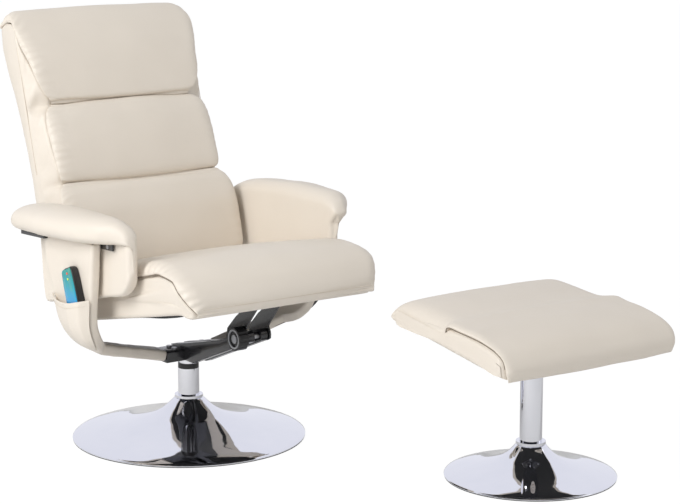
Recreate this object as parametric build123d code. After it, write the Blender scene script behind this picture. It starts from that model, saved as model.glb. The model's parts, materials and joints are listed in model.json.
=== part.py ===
from build123d import *
import math
import os

os.makedirs("parts", exist_ok=True)

# Driving dimensions, in millimetres and degrees
# The chair faces -Y with its swivel axis on Z, its left side is +X and the floor is Z = 0

# Clearances and cuts
gap = 0.3
turning_gap = 0.05
bore_gap = 0.1
overrun = 5.0
thin_wall = 2.5

# Round bases of the chair and the footstool
chair_rim_radius = 280.0
chair_neck_height = 96.0
chair_post_top = 168.0
stool_rim_radius = 195.6
stool_neck_height = 76.0
post_radius = 25.4
post_plug_height = 40.0
neck_radius = 32.0
rim_height = 6.0
floor_pad_thickness = 2.0
floor_pad_inset = 1.0
ballast_thickness = 6.0
ballast_margin = 100.0
ballast_boss_radius = 40.0
ballast_boss_height = 12.0
collar_height = 6.0
collar_skirt = 8.0
collar_lip = 2.0
base_bolt_radius = 6.0
base_bolt_head_radius = 10.0
base_bolt_head_height = 7.0
base_bolt_length = 36.0

# Swivel bushing and spindle
bushing_flange_height = 11.5
bushing_flange_inset = 0.4
bushing_sleeve_depth = 48.0
spindle_radius = 12.5
spindle_reach = 58.0
spindle_shoulder_radius = 22.0
spindle_stub_radius = 15.0
spindle_stub_height = 20.0

# Hub tube on the spindle
hub_bottom = 194.0
hub_height = 26.0
hub_half_length = 62.0
hub_half_width = 30.0
hub_wall = 4.0
hub_bolt_radius = 4.0
hub_bolt_head_radius = 7.0
hub_bolt_head_height = 5.0
hub_bolt_x = 46.0
hub_bolt_y = 12.0

# Rise arms, lock rod and knob under the seat
rise_inner = 8.0
rise_outer = 28.0
rise_depth = 28.0
rise_angle = 22.0
rise_wall = 3.0
rise_back = 34.0
rise_saddle_height = 18.0
rise_bend_y = 65.0
rod_y = -290.0
rod_radius = 6.0
rod_head_radius = 10.0
rod_head_length = 6.0
rod_end_inset = 4.0
knob_radius = 27.0
knob_length = 25.0
knob_scallop_radius = 7.0
knob_scallop_depth = 1.6
knob_scallops = 10
knob_dish_depth = 4.0
knob_ring_radius = 22.5
knob_ring_width = 4.0
knob_ring_depth = 3.0
knob_cap_radius = 10.0
knob_cap_height = 2.5

# Side frames, each a bent steel bar in an upholstered sleeve
panel_face = 330.0
panel_thickness = 25.0
panel_bend_radius = 107.0
arm_slope = 14.2
panel_front_top_y = -134.0
panel_front_low_y = -112.0
panel_front_low_z = 315.0
arm_front_y = -58.0
arm_rear_y = 5.0
arm_turn_x = 262.0
arm_turn_z = 262.0
panel_waist_y = 48.0
panel_waist_z = 368.0
panel_bulge_y = 84.0
panel_bulge_z = 438.0
panel_rear_top_y = 98.0
bar_thickness = 6.0
bar_edge_inset = 12.0
bar_start_x = 22.0

# Armrests and the rails that carry them
rest_inner = 269.0
rest_flap_thickness = 28.0
rest_level = 516.0
rest_level_y = 150.0
rest_tilt = 2.58
rest_crest_x = 305.0
rest_flap_front_y = -236.0
rest_flap_rear_y = 170.0
rest_flap_low_z = 391.0
rest_flap_low_y = -103.0
rest_flap_corner = 50.0
rest_station_y = (-238.0, -215.0, -170.0, -100.0, 0.0, 98.0, 166.0, 205.0, 230.0)
rest_station_height = (22.0, 46.0, 60.0, 64.0, 68.0, 65.0, 56.0, 40.0, 18.0)
rest_station_outer = (318.0, 338.0, 352.0, 372.0, 381.0, 377.0, 364.0, 346.0, 322.0)
rail_inner = 300.0
rail_outer = 326.0
rail_thickness = 8.0
rail_front_y = -182.0
rail_rear_y = 223.0
rail_block_height = 17.0
rail_block_rear_y = -136.0
ear_inner = 254.0
ear_outer = 258.0
ear_front_y = 187.0
rest_bolt_radius = 3.0
rest_bolt_head_radius = 6.0
rest_bolt_head_height = 3.5
rest_bolt_front_y = -158.0
rest_bolt_rear_y = 150.0
rest_bolt_grip = 14.0

# Recline pivots
pivot_y = 205.0
pivot_z = 500.0
pivot_radius = 6.0
hinge_drop = 150.0
link_lean = 2.0
seat_angle = 12.0
back_angle = 22.0

# Backrest, measured from the recline pivot: up along the back, then forward of it
shell_half_width = 245.0
shell_wall = 8.0
shell_front = -5.0
shell_foot_up = -93.7
shell_heel_up = 10.0
shell_heel_rear = -81.6
shell_low_rear = -76.0
shell_low_rear_up = 89.0
shell_waist_rear = -65.0
shell_waist_up = 211.0
shell_chest_rear = -68.0
shell_chest_up = 300.0
shell_neck_rear = -81.0
shell_neck_share = 0.488
shell_crown_rear = -84.0
shell_crown_up = 505.0
shell_neck_up = shell_chest_up + (shell_crown_up - shell_chest_up) * shell_neck_share
shell_top_rise = 23.0
shell_top_up = shell_crown_up + shell_top_rise
lumbar_foot_up = -111.0
lumbar_foot_front = 47.0
lumbar_belly_up = 15.0
lumbar_belly_front = 73.0
groove_low_up = 94.0
groove_low_front = 48.0
groove_high_up = 301.0
groove_high_front = 27.0
groove_tuck = 26.0
groove_half_gap = 0.6
mid_crown_up = 205.0
mid_crown_front = 60.0
head_crest_rise = 25.0
head_crest_up = shell_top_up + head_crest_rise
head_height = head_crest_up - groove_high_up
head_crown_share = 0.413
head_crown_up = groove_high_up + head_height * head_crown_share
head_crown_front = 48.0
head_crest_front = -18.0
head_width_top = 247.0
head_width_mid = 233.0
head_width_mid_share = 0.357
head_width_mid_up = groove_high_up + head_height * head_width_mid_share
head_width_low = 221.0
head_width_low_share = 0.091
head_width_low_up = groove_high_up + head_height * head_width_low_share
head_width_crown_share = 0.79
head_width_crown_up = groove_high_up + head_height * head_width_crown_share
tip_width_high = 190.0
mid_width = 226.0
mid_width_inset_up = 22.0
tip_width_low = 218.0
lumbar_width = 244.0
lumbar_width_inset_up = 30.0
lumbar_foot_width = 240.0
back_edge_share = 0.62
back_crown_shares = (-1.0, -0.9, -0.55, 0.0, 0.55, 0.9, 1.0)
back_depth_shares = (0.70, 0.88, 0.97, 1.0, 0.97, 0.88, 0.70)

# Steel frame, plates and motors inside the back
frame_tube = 20.0
frame_rear = -48.0
frame_half_width = 232.0
frame_low_up = 22.0
frame_high_drop = 9.0
frame_high_up = shell_crown_up - frame_high_drop
frame_corner = 34.0
frame_bar_up = 270.0
plate_thickness = 4.0
plate_half_width = 17.0
plate_top_up = 120.0
pin_head_radius = 10.0
pin_head_length = 4.0
spacer_radius = 12.0
link_pin_radius = 5.0
link_pin_head_radius = 8.0
link_pin_end = 3.0
link_slot_depth = 2.5
strap_thickness = 1.5
strap_width = 46.0
back_straps = 6
back_strap_first_up = 60.0
back_strap_pitch = 78.0
motor_radius = 34.0
motor_height = 22.0
motor_boss_radius = 12.0
motor_boss_height = 3.0
back_motor_ups = (150.0, 385.0)

# Seat, measured from the top rear of the seat line: forward along it, then up
seat_y = 126.0
seat_z = 413.0
seat_half_width = 255.0
seat_wall = 13.5
seat_rear = -38.0
seat_bottom = -121.0
seat_board_top = -30.0
seat_nose_forward = 512.0
seat_board_setback = 72.0
seat_board_front = seat_nose_forward - seat_board_setback
seat_brow_setback = 24.0
seat_brow_forward = seat_nose_forward - seat_brow_setback
seat_brow_up = -42.0
seat_nose_up = -78.0
seat_toe_reach = 16.0
seat_toe_forward = seat_nose_forward + seat_toe_reach
seat_toe_up = -120.0
seat_lip_forward = seat_nose_forward
seat_lip_up = -133.0
seat_lip_width = 42.0
seat_lip_rear_forward = seat_lip_forward - seat_lip_width
cushion_half_width = 258.0
cushion_rear_round = 22.0
cushion_rear_drop = 1.5
cushion_top = 5.0
cushion_crown = 8.0
cushion_flat_setback = 112.0
cushion_flat_forward = seat_nose_forward - cushion_flat_setback
cushion_brow_setback = 15.0
cushion_brow_forward = seat_nose_forward - cushion_brow_setback
cushion_brow_up = -20.0
cushion_nose_reach = 35.0
cushion_nose_forward = seat_nose_forward + cushion_nose_reach
cushion_nose_up = -70.0
cushion_chin_reach = 39.0
cushion_chin_forward = seat_nose_forward + cushion_chin_reach
cushion_chin_up = -100.0
cushion_hem_reach = 31.0
cushion_hem_forward = seat_nose_forward + cushion_hem_reach
cushion_hem_up = -127.0
cushion_hem_inner_up = -131.0
seat_edge_drop = 12.0
seat_edge_share = 0.93
seat_shoulder_share = 0.6
seat_frame_tube = 25.0
seat_frame_margin = 13.0
board_thickness = 12.0
dust_cover_thickness = 1.5
foam_front_setback = 82.0
foam_front = seat_nose_forward - foam_front_setback
foam_nose_setback = 32.0
foam_nose_forward = seat_nose_forward - foam_nose_setback
foam_nose_up = -60.0
seat_straps_along = 4
seat_straps_across = 5
seat_motor_forward = 230.0
seat_arm_width = 26.0
seat_arm_reach = 150.0
seat_bracket_inner = 28.6
seat_bracket_thickness = 4.0
seat_bracket_margin = 10.0
seat_bracket_front = 452.0
seat_bracket_rear = 300.0
seat_bracket_flange = 22.0
seat_travel = 52.0
slot_spare = 2.0
seat_bolt_radius = 3.0
seat_bolt_head_radius = 6.0
seat_bolt_head_height = 3.5
seat_bolt_forwards = (325.0, 425.0)

# Pocket on the right side frame and the handset in it
pocket_bulge = 26.0
pocket_wall = 2.5
pocket_edge = 3.0
pocket_inset = 2.0
pocket_lip_rear_z = 374.0
pocket_lip_sag_y = -23.0
pocket_lip_sag_z = 373.0
pocket_lip_front_z = 394.0
pocket_turn_z = 350.0
pocket_belly_x = 342.0
pocket_belly_z = 303.0
pocket_hem_x = 291.0
pocket_hem_z = 260.0
pocket_floor_x = 304.0
pocket_floor_z = 276.0
remote_y = -48.0
remote_z = 461.0
remote_lean = 16.0
remote_length = 115.0
remote_width = 56.0
remote_depth = 20.0
remote_stand_off = 0.3
remote_corner = 12.0
remote_wall = 2.0
remote_face_margin = 4.0
remote_face_depth = 1.2
remote_board_depth = 1.6
remote_post_radius = 3.0
led_radius = 2.5
led_proud = 0.6
led_downs = (14.0, 27.0)
button_radius = 5.5
button_proud = 0.6
button_depth = 1.0
button_stem_radius = 2.0
button_travel = 0.5
button_down = 88.0
button_side = 13.0

# Footstool, measured from the middle of its underside: forward along it, then up
stool_x = 449.5
stool_y = -734.9
stool_z = 324.1
stool_angle = 8.4
stool_half_width = 243.7
stool_wall = 14.0
stool_rear_low = -191.0
stool_rear = -204.0
stool_rear_low_up = 12.0
stool_rear_up = 24.0
stool_step_rear = -45.0
stool_step_rear_up = 30.0
stool_step_front = -4.0
stool_step_front_up = 50.0
stool_slit_forward = 106.0
stool_slit_up = 54.0
stool_brow_forward = 168.0
stool_brow_up = 47.0
stool_nose_forward = 188.0
stool_nose_up = 26.0
stool_toe_forward = 192.0
pad_rear_shoulder_forward = -196.0
pad_rear_shoulder_up = 37.0
pad_rear_top_forward = -172.0
pad_rear_top_up = 43.0
pad_saddle_forward = -60.0
pad_saddle_up = 53.0
pad_crown_forward = 70.0
pad_crown_up = 72.0
pad_brow_forward = 178.0
pad_brow_up = 60.0
pad_nose_forward = 211.0
pad_nose_up = 30.0
pad_hem_forward = 203.0
pad_hem_up = -4.0
pad_edge_drop = 6.0
pad_half_width = 246.5
stool_board_thickness = 12.0
stool_plate_half = 75.0
stool_plate_thickness = 4.0
stool_bolt_pitch = 55.0
stool_bolt_radius = 3.0
stool_bolt_head_radius = 6.0
stool_bolt_head_height = 3.5
stool_bolt_grip = 9.0

# Shares that place points on shared outlines
half_share = 0.5
rest_inner_rise_share = 0.55
rest_inner_turn_share = 0.9
rest_outer_turn_share = 0.86
rest_outer_low_share = 0.55
rest_outer_tuck_share = 0.55
rest_crest_end_share = 0.25


# Closed face through points; a pair of points is an arc through the first to the second
def outline(start, *steps):
    edges = []
    here = start
    for step in steps:
        if isinstance(step[0], tuple):
            edges.append(ThreePointArc(here, step[0], step[1]))
            here = step[1]
        else:
            edges.append(Line(here, step))
            here = step
    edges.append(Line(here, start))
    return make_face(edges)


# Planes of the pieces: seen from the side, seen from the front, and along the tilted parts
def side_plane(x=0.0):
    return Plane(origin=(x, 0, 0), x_dir=(0, 1, 0), z_dir=(1, 0, 0))


def front_plane(y=0.0):
    return Plane(origin=(0, y, 0), x_dir=(1, 0, 0), z_dir=(0, -1, 0))


def back_plane(x=0.0):
    lean = math.radians(back_angle)
    return Plane(origin=(x, pivot_y, pivot_z), x_dir=(0, math.sin(lean), math.cos(lean)), z_dir=(1, 0, 0))


def seat_plane(x=0.0):
    tilt = math.radians(seat_angle)
    return Plane(origin=(x, seat_y, seat_z), x_dir=(0, -math.cos(tilt), math.sin(tilt)), z_dir=(-1, 0, 0))


def stool_plane(x=0.0):
    tilt = math.radians(stool_angle)
    origin = (stool_x + x, stool_y, stool_z)
    return Plane(origin=origin, x_dir=(0, -math.cos(tilt), -math.sin(tilt)), z_dir=(-1, 0, 0))


def remote_plane(x=0.0):
    lean = math.radians(remote_lean)
    origin = (-panel_face - x, remote_y, remote_z)
    return Plane(origin=origin, x_dir=(0, math.sin(lean), math.cos(lean)), z_dir=(-1, 0, 0))


# Slab of a face on a plane at X = 0, from one side of the centre plane to the other
def slab(plane, face, half_width):
    return extrude(plane * face, amount=half_width, both=True)


# Slab of a face between two distances along its plane's normal
def layer(plane, face, start, end):
    return extrude(plane.offset(start) * face, amount=end - start)


# Round bar along X between two places
def bar_x(y, z, radius, x_start, x_end):
    disc = Plane(origin=(x_start, y, z), x_dir=(0, 1, 0), z_dir=(1, 0, 0)) * Circle(radius)
    return extrude(disc, amount=x_end - x_start)


def disc_z(radius, bottom, height, x=0.0, y=0.0):
    return Pos(x, y, bottom) * Cylinder(radius, height, align=(Align.CENTER, Align.CENTER, Align.MIN))


def box_z(width, depth, height, x=0.0, y=0.0, bottom=0.0):
    return Pos(x, y, bottom) * Box(width, depth, height, align=(Align.CENTER, Align.CENTER, Align.MIN))


def other_side(piece):
    return mirror(piece, about=Plane.YZ)


# Round base: pad, ballast plate, trumpet shell, collar, post and bolt
def floor_pad(rim_radius):
    return disc_z(rim_radius - floor_pad_inset, 0, floor_pad_thickness)


def ballast_plate(rim_radius):
    plate = disc_z(rim_radius - ballast_margin, floor_pad_thickness, ballast_thickness)
    boss_bottom = floor_pad_thickness + ballast_thickness
    plate += disc_z(ballast_boss_radius, boss_bottom, ballast_boss_height)
    plate -= disc_z(base_bolt_head_radius + bore_gap, floor_pad_thickness, base_bolt_head_height + bore_gap)
    plate -= disc_z(base_bolt_radius + bore_gap, 0, boss_bottom + ballast_boss_height + overrun)
    return plate


def base_shell(rim_radius, neck_height):
    spread = rim_radius - neck_radius
    rise = neck_height - rim_height
    outer = EllipticalCenterArc((rim_radius, neck_height), spread, rise, 180, arc_size=90)
    inner = EllipticalCenterArc((rim_radius, neck_height), spread + thin_wall, rise + thin_wall, 180, arc_size=90)
    top = Line(inner @ 0, outer @ 0)
    rim_foot = (rim_radius, floor_pad_thickness)
    rim = Polyline(outer @ 1, rim_foot, (rim_radius - thin_wall, floor_pad_thickness), inner @ 1)
    profile = make_face([outer, inner, top, *rim.edges()])
    return revolve(Plane.XZ * profile, axis=Axis.Z)


def base_collar(neck_height):
    ring = disc_z(neck_radius + collar_lip, neck_height + gap, collar_height)
    skirt_radius = neck_radius - thin_wall - gap
    ring += disc_z(skirt_radius, neck_height - collar_skirt, collar_skirt + gap)
    ring -= disc_z(post_radius + bore_gap, neck_height - collar_skirt - overrun, collar_skirt * 2 + collar_height * 2)
    return ring


def post_foot_z():
    return floor_pad_thickness + ballast_thickness + ballast_boss_height


def base_post(top_z):
    foot = post_foot_z()
    post = disc_z(post_radius, foot, top_z - foot)
    post -= disc_z(post_radius - thin_wall, foot + post_plug_height, top_z)
    post -= disc_z(base_bolt_radius + bore_gap, 0, foot + post_plug_height + overrun)
    return post


def base_bolt():
    head_bottom = floor_pad_thickness + gap
    bolt = disc_z(base_bolt_head_radius, head_bottom, base_bolt_head_height - gap)
    return bolt + disc_z(base_bolt_radius, head_bottom, base_bolt_length)


# Plastic bushing pressed into the top of the post, and the spindle that turns in it
def swivel_bushing():
    flange = disc_z(post_radius - bushing_flange_inset, chair_post_top, bushing_flange_height)
    sleeve_radius = post_radius - thin_wall - bore_gap
    sleeve = disc_z(sleeve_radius, chair_post_top - bushing_sleeve_depth, bushing_sleeve_depth)
    bore = disc_z(spindle_radius + turning_gap, 0, chair_post_top + bushing_flange_height + overrun)
    return flange + sleeve - bore


def spindle_end_z():
    return chair_post_top - spindle_reach


def swivel_spindle():
    shoulder_z = chair_post_top + bushing_flange_height + gap
    spindle = disc_z(spindle_radius, spindle_end_z(), shoulder_z - spindle_end_z())
    spindle += disc_z(spindle_shoulder_radius, shoulder_z, hub_bottom - shoulder_z)
    spindle += disc_z(spindle_stub_radius, hub_bottom, spindle_stub_height)
    return spindle


# Hub: a flat tube across the chair, welded on the spindle, that holds both side frames
def hub_top():
    return hub_bottom + hub_height


def hub_bolt_shafts(radius):
    shafts = Part()
    for side in (-1, 1):
        for row in (-1, 1):
            shafts += disc_z(radius, hub_bottom, hub_height, side * hub_bolt_x, row * hub_bolt_y)
    return shafts


def hub_tube():
    tube = box_z(2 * hub_half_length, 2 * hub_half_width, hub_height, bottom=hub_bottom)
    inner_length = 2 * (hub_half_length + overrun)
    inner_width = 2 * (hub_half_width - hub_wall)
    tube -= box_z(inner_length, inner_width, hub_height - 2 * hub_wall, bottom=hub_bottom + hub_wall)
    tube -= disc_z(spindle_stub_radius + bore_gap, hub_bottom, hub_wall)
    return tube - hub_bolt_shafts(hub_bolt_radius + bore_gap)


def hub_bolts():
    bolts = hub_bolt_shafts(hub_bolt_radius)
    for side in (-1, 1):
        for row in (-1, 1):
            head = disc_z(hub_bolt_head_radius, hub_top(), hub_bolt_head_height, side * hub_bolt_x, row * hub_bolt_y)
            bolts += head
    return bolts


# Rise arms: channels hooked over the hub that run forward and up to the lock rod
def rise_low_z(y):
    return hub_bottom + (-rise_bend_y - y) * math.tan(math.radians(rise_angle))


def rod_z():
    return rise_low_z(rod_y) + rise_depth / 2 / math.cos(math.radians(rise_angle))


def rise_arm():
    slope = math.radians(rise_angle)
    radius = rise_depth / 2
    saddle_z = hub_top() + rise_saddle_height
    rise_top_start = hub_bottom + rise_depth / math.cos(slope)
    corner_y = -rise_bend_y - (saddle_z - rise_top_start) / math.tan(slope)
    top_end = (rod_y + radius * math.sin(slope), rod_z() + radius * math.cos(slope))
    tip = (rod_y - radius * math.cos(slope), rod_z() + radius * math.sin(slope))
    low_end = (rod_y - radius * math.sin(slope), rod_z() - radius * math.cos(slope))
    hub_face_y = -hub_half_width - gap
    face = outline(
        (rise_back, hub_top() + gap),
        (rise_back, saddle_z),
        (corner_y, saddle_z),
        top_end,
        (tip, low_end),
        (-rise_bend_y, hub_bottom),
        (hub_face_y, hub_bottom),
        (hub_face_y, hub_top() + gap),
    )
    arm = layer(side_plane(), face, rise_inner, rise_outer)
    hollow = offset(face, amount=-rise_wall)
    arm -= layer(side_plane(), hollow, rise_inner, rise_outer - rise_wall)
    return arm - bar_x(rod_y, rod_z(), rod_radius + bore_gap, 0, rise_outer + overrun)


def knob_start():
    return seat_bracket_inner + seat_bracket_thickness + gap


def knob_bore_depth():
    return knob_length - 2 * knob_dish_depth


def lock_rod():
    rod_end = knob_start() + knob_bore_depth() - rod_end_inset
    head_start = knob_start()
    rod = bar_x(rod_y, rod_z(), rod_radius, -rod_end, head_start)
    return rod + bar_x(rod_y, rod_z(), rod_head_radius, head_start, head_start + rod_head_length)


# Lock knob with finger scallops, a ring in its face and a cap in its dish
def lock_knob():
    face_x = -knob_start() - knob_length
    knob = bar_x(rod_y, rod_z(), knob_radius, face_x, -knob_start())
    reach = knob_radius + knob_scallop_radius - knob_scallop_depth
    for turn in range(knob_scallops):
        angle = 2 * math.pi * turn / knob_scallops
        scallop_y = rod_y + reach * math.cos(angle)
        scallop_z = rod_z() + reach * math.sin(angle)
        knob -= bar_x(scallop_y, scallop_z, knob_scallop_radius, face_x, -knob_start())
    knob -= bar_x(rod_y, rod_z(), knob_ring_radius, face_x, face_x + knob_ring_depth)
    dish_radius = knob_ring_radius - knob_ring_width
    knob -= bar_x(rod_y, rod_z(), dish_radius, face_x, face_x + knob_dish_depth)
    bore_end = -knob_start() - knob_bore_depth()
    return knob - bar_x(rod_y, rod_z(), rod_radius + turning_gap, bore_end, 0)


def lock_knob_trim():
    face_x = -knob_start() - knob_length
    ring = bar_x(rod_y, rod_z(), knob_ring_radius, face_x, face_x + knob_ring_depth)
    ring -= bar_x(rod_y, rod_z(), knob_ring_radius - knob_ring_width, face_x, face_x + knob_ring_depth)
    floor_x = face_x + knob_dish_depth
    return ring + bar_x(rod_y, rod_z(), knob_cap_radius, floor_x - knob_cap_height, floor_x)


# Underside of the armrest pads, which slopes gently down to the rear
def rest_bottom(y):
    return rest_level + (rest_level_y - y) * math.tan(math.radians(rest_tilt))


# Side frame strip: front view of the bend, then its plan and side outlines
def bend_centre():
    slope = math.radians(arm_slope)
    centre_x = panel_face - panel_bend_radius
    run = centre_x - hub_half_length
    return centre_x, hub_bottom + run * math.tan(slope) + panel_bend_radius / math.cos(slope)


def bend_points(radius, start_x):
    slope = math.radians(arm_slope)
    centre_x, centre_z = bend_centre()
    foot = (centre_x + radius * math.sin(slope), centre_z - radius * math.cos(slope))
    start = (start_x, foot[1] - (foot[0] - start_x) * math.tan(slope))
    half_turn = slope + (math.pi / 2 - slope) / 2
    middle = (centre_x + radius * math.sin(half_turn), centre_z - radius * math.cos(half_turn))
    return start, foot, middle, (centre_x + radius, centre_z)


def strip_front_face(inset, start_x):
    outer = bend_points(panel_bend_radius - inset, start_x)
    inner = bend_points(panel_bend_radius - panel_thickness + inset, start_x)
    top_z = rest_bottom(panel_front_top_y) + overrun
    return outline(
        outer[0],
        outer[1],
        (outer[2], outer[3]),
        (outer[3][0], top_z),
        (inner[3][0], top_z),
        inner[3],
        (inner[2], inner[1]),
        inner[0],
    )


def strip_side_face(inset):
    corner_share = math.sin(math.radians(45))
    corner_y = arm_front_y + (panel_front_low_y - arm_front_y) * corner_share
    corner_z = panel_front_low_z + (arm_turn_z - panel_front_low_z) * corner_share
    front_top = panel_front_top_y + inset
    rear_top = panel_rear_top_y - inset
    return outline(
        (front_top, rest_bottom(front_top) - gap),
        (panel_front_low_y + inset, panel_front_low_z),
        ((corner_y + inset, corner_z + inset), (arm_front_y + inset, arm_turn_z)),
        (arm_front_y + inset, 0),
        (arm_rear_y - inset, 0),
        (arm_rear_y - inset, arm_turn_z),
        (panel_waist_y - inset, panel_waist_z),
        ((panel_bulge_y - inset, panel_bulge_z), (rear_top, rest_bottom(rear_top) - gap)),
    )


def strip_plan_face(inset):
    half = hub_half_width - inset
    return make_face(
        Polyline(
            (0, -half),
            (hub_half_length, -half),
            (arm_turn_x, arm_front_y + inset),
            (arm_turn_x, arm_rear_y - inset),
            (hub_half_length, half),
            (0, half),
            close=True,
        )
    )


def bent_strip(skin, edge, start_x):
    strip = extrude(front_plane(panel_rear_top_y) * strip_front_face(skin, start_x), amount=2 * panel_face)
    lower = extrude(Plane.XY * strip_plan_face(edge), amount=pivot_z)
    upper = layer(side_plane(), strip_side_face(edge), arm_turn_x, panel_face)
    return strip & (lower + upper)


def rail_band(y_start, y_end, drop_start, drop_end):
    return make_face(
        Polyline(
            (y_start, rest_bottom(y_start) - drop_start),
            (y_end, rest_bottom(y_end) - drop_start),
            (y_end, rest_bottom(y_end) - drop_end),
            (y_start, rest_bottom(y_start) - drop_end),
            close=True,
        )
    )


# Room that a side frame leaves for the rail on its top
def rail_room():
    room = rail_band(rail_front_y, rail_rear_y, -overrun, rail_thickness + 2 * gap)
    return layer(side_plane(), room, rail_inner - gap, rail_outer + gap)


def bar_skin():
    return (panel_thickness - bar_thickness) / 2


def bar_in_hub(skin, edge):
    outer_z = bend_points(panel_bend_radius - skin, hub_half_length)[0][1]
    inner_z = bend_points(panel_bend_radius - panel_thickness + skin, hub_half_length)[0][1]
    length = hub_half_length - bar_start_x
    middle_x = bar_start_x + length / 2
    return box_z(length, 2 * (hub_half_width - edge), inner_z - outer_z, middle_x, 0, outer_z)


def side_bar():
    bar = bent_strip(bar_skin(), bar_edge_inset, hub_half_length) + bar_in_hub(bar_skin(), bar_edge_inset)
    bar -= hub_bolt_shafts(hub_bolt_radius + bore_gap)
    return bar - rail_room()


def side_frame():
    sleeve = bent_strip(0, 0, hub_half_length + gap)
    sleeve -= bent_strip(bar_skin() - gap, bar_edge_inset - gap, 0)
    return sleeve - rail_room()


# Armrest: a crowned pad lofted from front to rear, with a flap down its inner side
def rest_section(y, height, outer):
    low = rest_bottom(y)
    tuck = height * rest_outer_tuck_share
    inner_turn_x = rest_inner + (rest_crest_x - rest_inner) * rest_crest_end_share
    outer_turn_x = outer - (outer - rest_crest_x) * rest_crest_end_share
    face = outline(
        (rest_inner, low),
        (rest_inner, low + height * rest_inner_rise_share),
        ((inner_turn_x, low + height * rest_inner_turn_share), (rest_crest_x, low + height)),
        (
            (outer_turn_x, low + height * rest_outer_turn_share),
            (outer, low + height * rest_outer_low_share),
        ),
        (
            (outer - tuck * rest_crest_end_share, low + height * rest_crest_end_share * half_share),
            (outer - tuck, low),
        ),
    )
    return front_plane(y) * face


def rest_flap_low(y):
    return rest_flap_low_z + (rest_flap_low_y - y) * math.tan(math.radians(seat_angle))


def rest_flap():
    corner = rest_flap_corner
    turn_share = 1 - math.sin(math.radians(45))
    front = rest_flap_front_y
    low_corner = rest_flap_low(front)
    turn = (front + corner * turn_share, low_corner + corner * turn_share)
    top_rise = rest_station_height[0] * half_share
    face = outline(
        (front, rest_bottom(front) + top_rise),
        (front, low_corner + corner),
        (turn, (front + corner, rest_flap_low(front + corner))),
        (rest_flap_rear_y, rest_flap_low(rest_flap_rear_y)),
        (rest_flap_rear_y, rest_bottom(rest_flap_rear_y) + top_rise),
    )
    return layer(side_plane(), face, rest_inner, rest_inner + rest_flap_thickness)


def rest_bolt_places():
    x = (rail_inner + rail_outer) / 2
    return (
        (x, rest_bolt_front_y, rail_block_height),
        (x, rest_bolt_rear_y, rail_thickness),
    )


def rest_bolt_shafts(radius):
    shafts = Part()
    for x, y, depth in rest_bolt_places():
        bottom = rest_bottom(y) - gap - depth - gap
        shafts += disc_z(radius, bottom, depth + rest_bolt_grip, x, y)
    return shafts


def armrest():
    stations = zip(rest_station_y, rest_station_height, rest_station_outer)
    pad = loft([rest_section(y, height, outer) for y, height, outer in stations])
    below = rail_band(rest_station_y[0] - overrun, rest_station_y[-1] + overrun, 0, rail_block_height)
    pad -= layer(side_plane(), below, rest_inner - overrun, max(rest_station_outer) + overrun)
    return pad + rest_flap() - rest_bolt_shafts(rest_bolt_radius + bore_gap)


def armrest_bolts():
    bolts = rest_bolt_shafts(rest_bolt_radius)
    for x, y, depth in rest_bolt_places():
        head_top = rest_bottom(y) - gap - depth - gap
        bolts += disc_z(rest_bolt_head_radius, head_top - rest_bolt_head_height, rest_bolt_head_height, x, y)
    return bolts + other_side(bolts)


# Rail under an armrest, with a block at its front and an ear for the recline pivot at its rear
def armrest_rail():
    low = gap + rail_thickness
    rail = layer(side_plane(), rail_band(rail_front_y, rail_rear_y, gap, low), rail_inner, rail_outer)
    block = rail_band(rail_front_y, rail_block_rear_y, gap, gap + rail_block_height)
    rail += layer(side_plane(), block, rail_inner, rail_outer)
    rail += layer(side_plane(), rail_band(ear_front_y, rail_rear_y, gap, low), ear_inner, rail_inner)
    ear_radius = (rail_rear_y - ear_front_y) / 2
    ear_face = outline(
        (ear_front_y, rest_bottom(ear_front_y) - low),
        (ear_front_y, pivot_z),
        ((ear_front_y + ear_radius, pivot_z - ear_radius), (rail_rear_y, pivot_z)),
        (rail_rear_y, rest_bottom(rail_rear_y) - low),
    )
    rail += layer(side_plane(), ear_face, ear_inner, ear_outer)
    rail -= bar_x(pivot_y, pivot_z, pivot_radius + turning_gap, ear_inner - overrun, ear_outer)
    return rail - rest_bolt_shafts(rest_bolt_radius + bore_gap)


# Pocket: a sagging patch sewn by its edges to the outer face of the right side frame
def pocket_front_face(wall, floor_x, floor_z):
    top_z = pocket_lip_front_z + overrun
    face_x = panel_face + pocket_bulge - wall
    belly = (pocket_belly_x - wall, pocket_belly_z + wall)
    return outline(
        (floor_x, floor_z),
        (belly, (face_x, pocket_turn_z)),
        (face_x, top_z),
        (hub_half_length, top_z),
        (hub_half_length, floor_z),
    )


def pocket_side_face():
    front = panel_front_top_y - overrun
    rear = panel_rear_top_y + overrun
    return outline(
        (front, 0),
        (front, pocket_lip_front_z),
        ((pocket_lip_sag_y, pocket_lip_sag_z), (panel_waist_y + overrun, pocket_lip_rear_z)),
        (rear, pocket_lip_rear_z),
        (rear, 0),
    )


# Everything inside the outer face of the side frame
def panel_inside():
    start, foot, middle, end = bend_points(panel_bend_radius + gap, hub_half_length)
    top_z = rest_bottom(0)
    face = outline(start, foot, (middle, end), (end[0], top_z), (hub_half_length, top_z))
    return extrude(front_plane(panel_rear_top_y + overrun) * face, amount=2 * panel_face)


def remote_pocket():
    bag_face = pocket_front_face(0, pocket_hem_x, pocket_hem_z)
    hollow_face = pocket_front_face(pocket_wall, pocket_floor_x, pocket_floor_z)
    rear = front_plane(panel_rear_top_y)
    bag = extrude(rear * bag_face, amount=2 * panel_face)
    hollow = extrude(rear * hollow_face, amount=2 * panel_face)
    reach = panel_face + pocket_bulge + overrun
    bag &= layer(side_plane(), strip_side_face(pocket_inset), hub_half_length, reach)
    bag &= layer(side_plane(), pocket_side_face(), hub_half_length, reach)
    hollow &= layer(side_plane(), strip_side_face(pocket_inset + pocket_edge), hub_half_length, reach)
    return other_side(bag - hollow - panel_inside())


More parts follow.
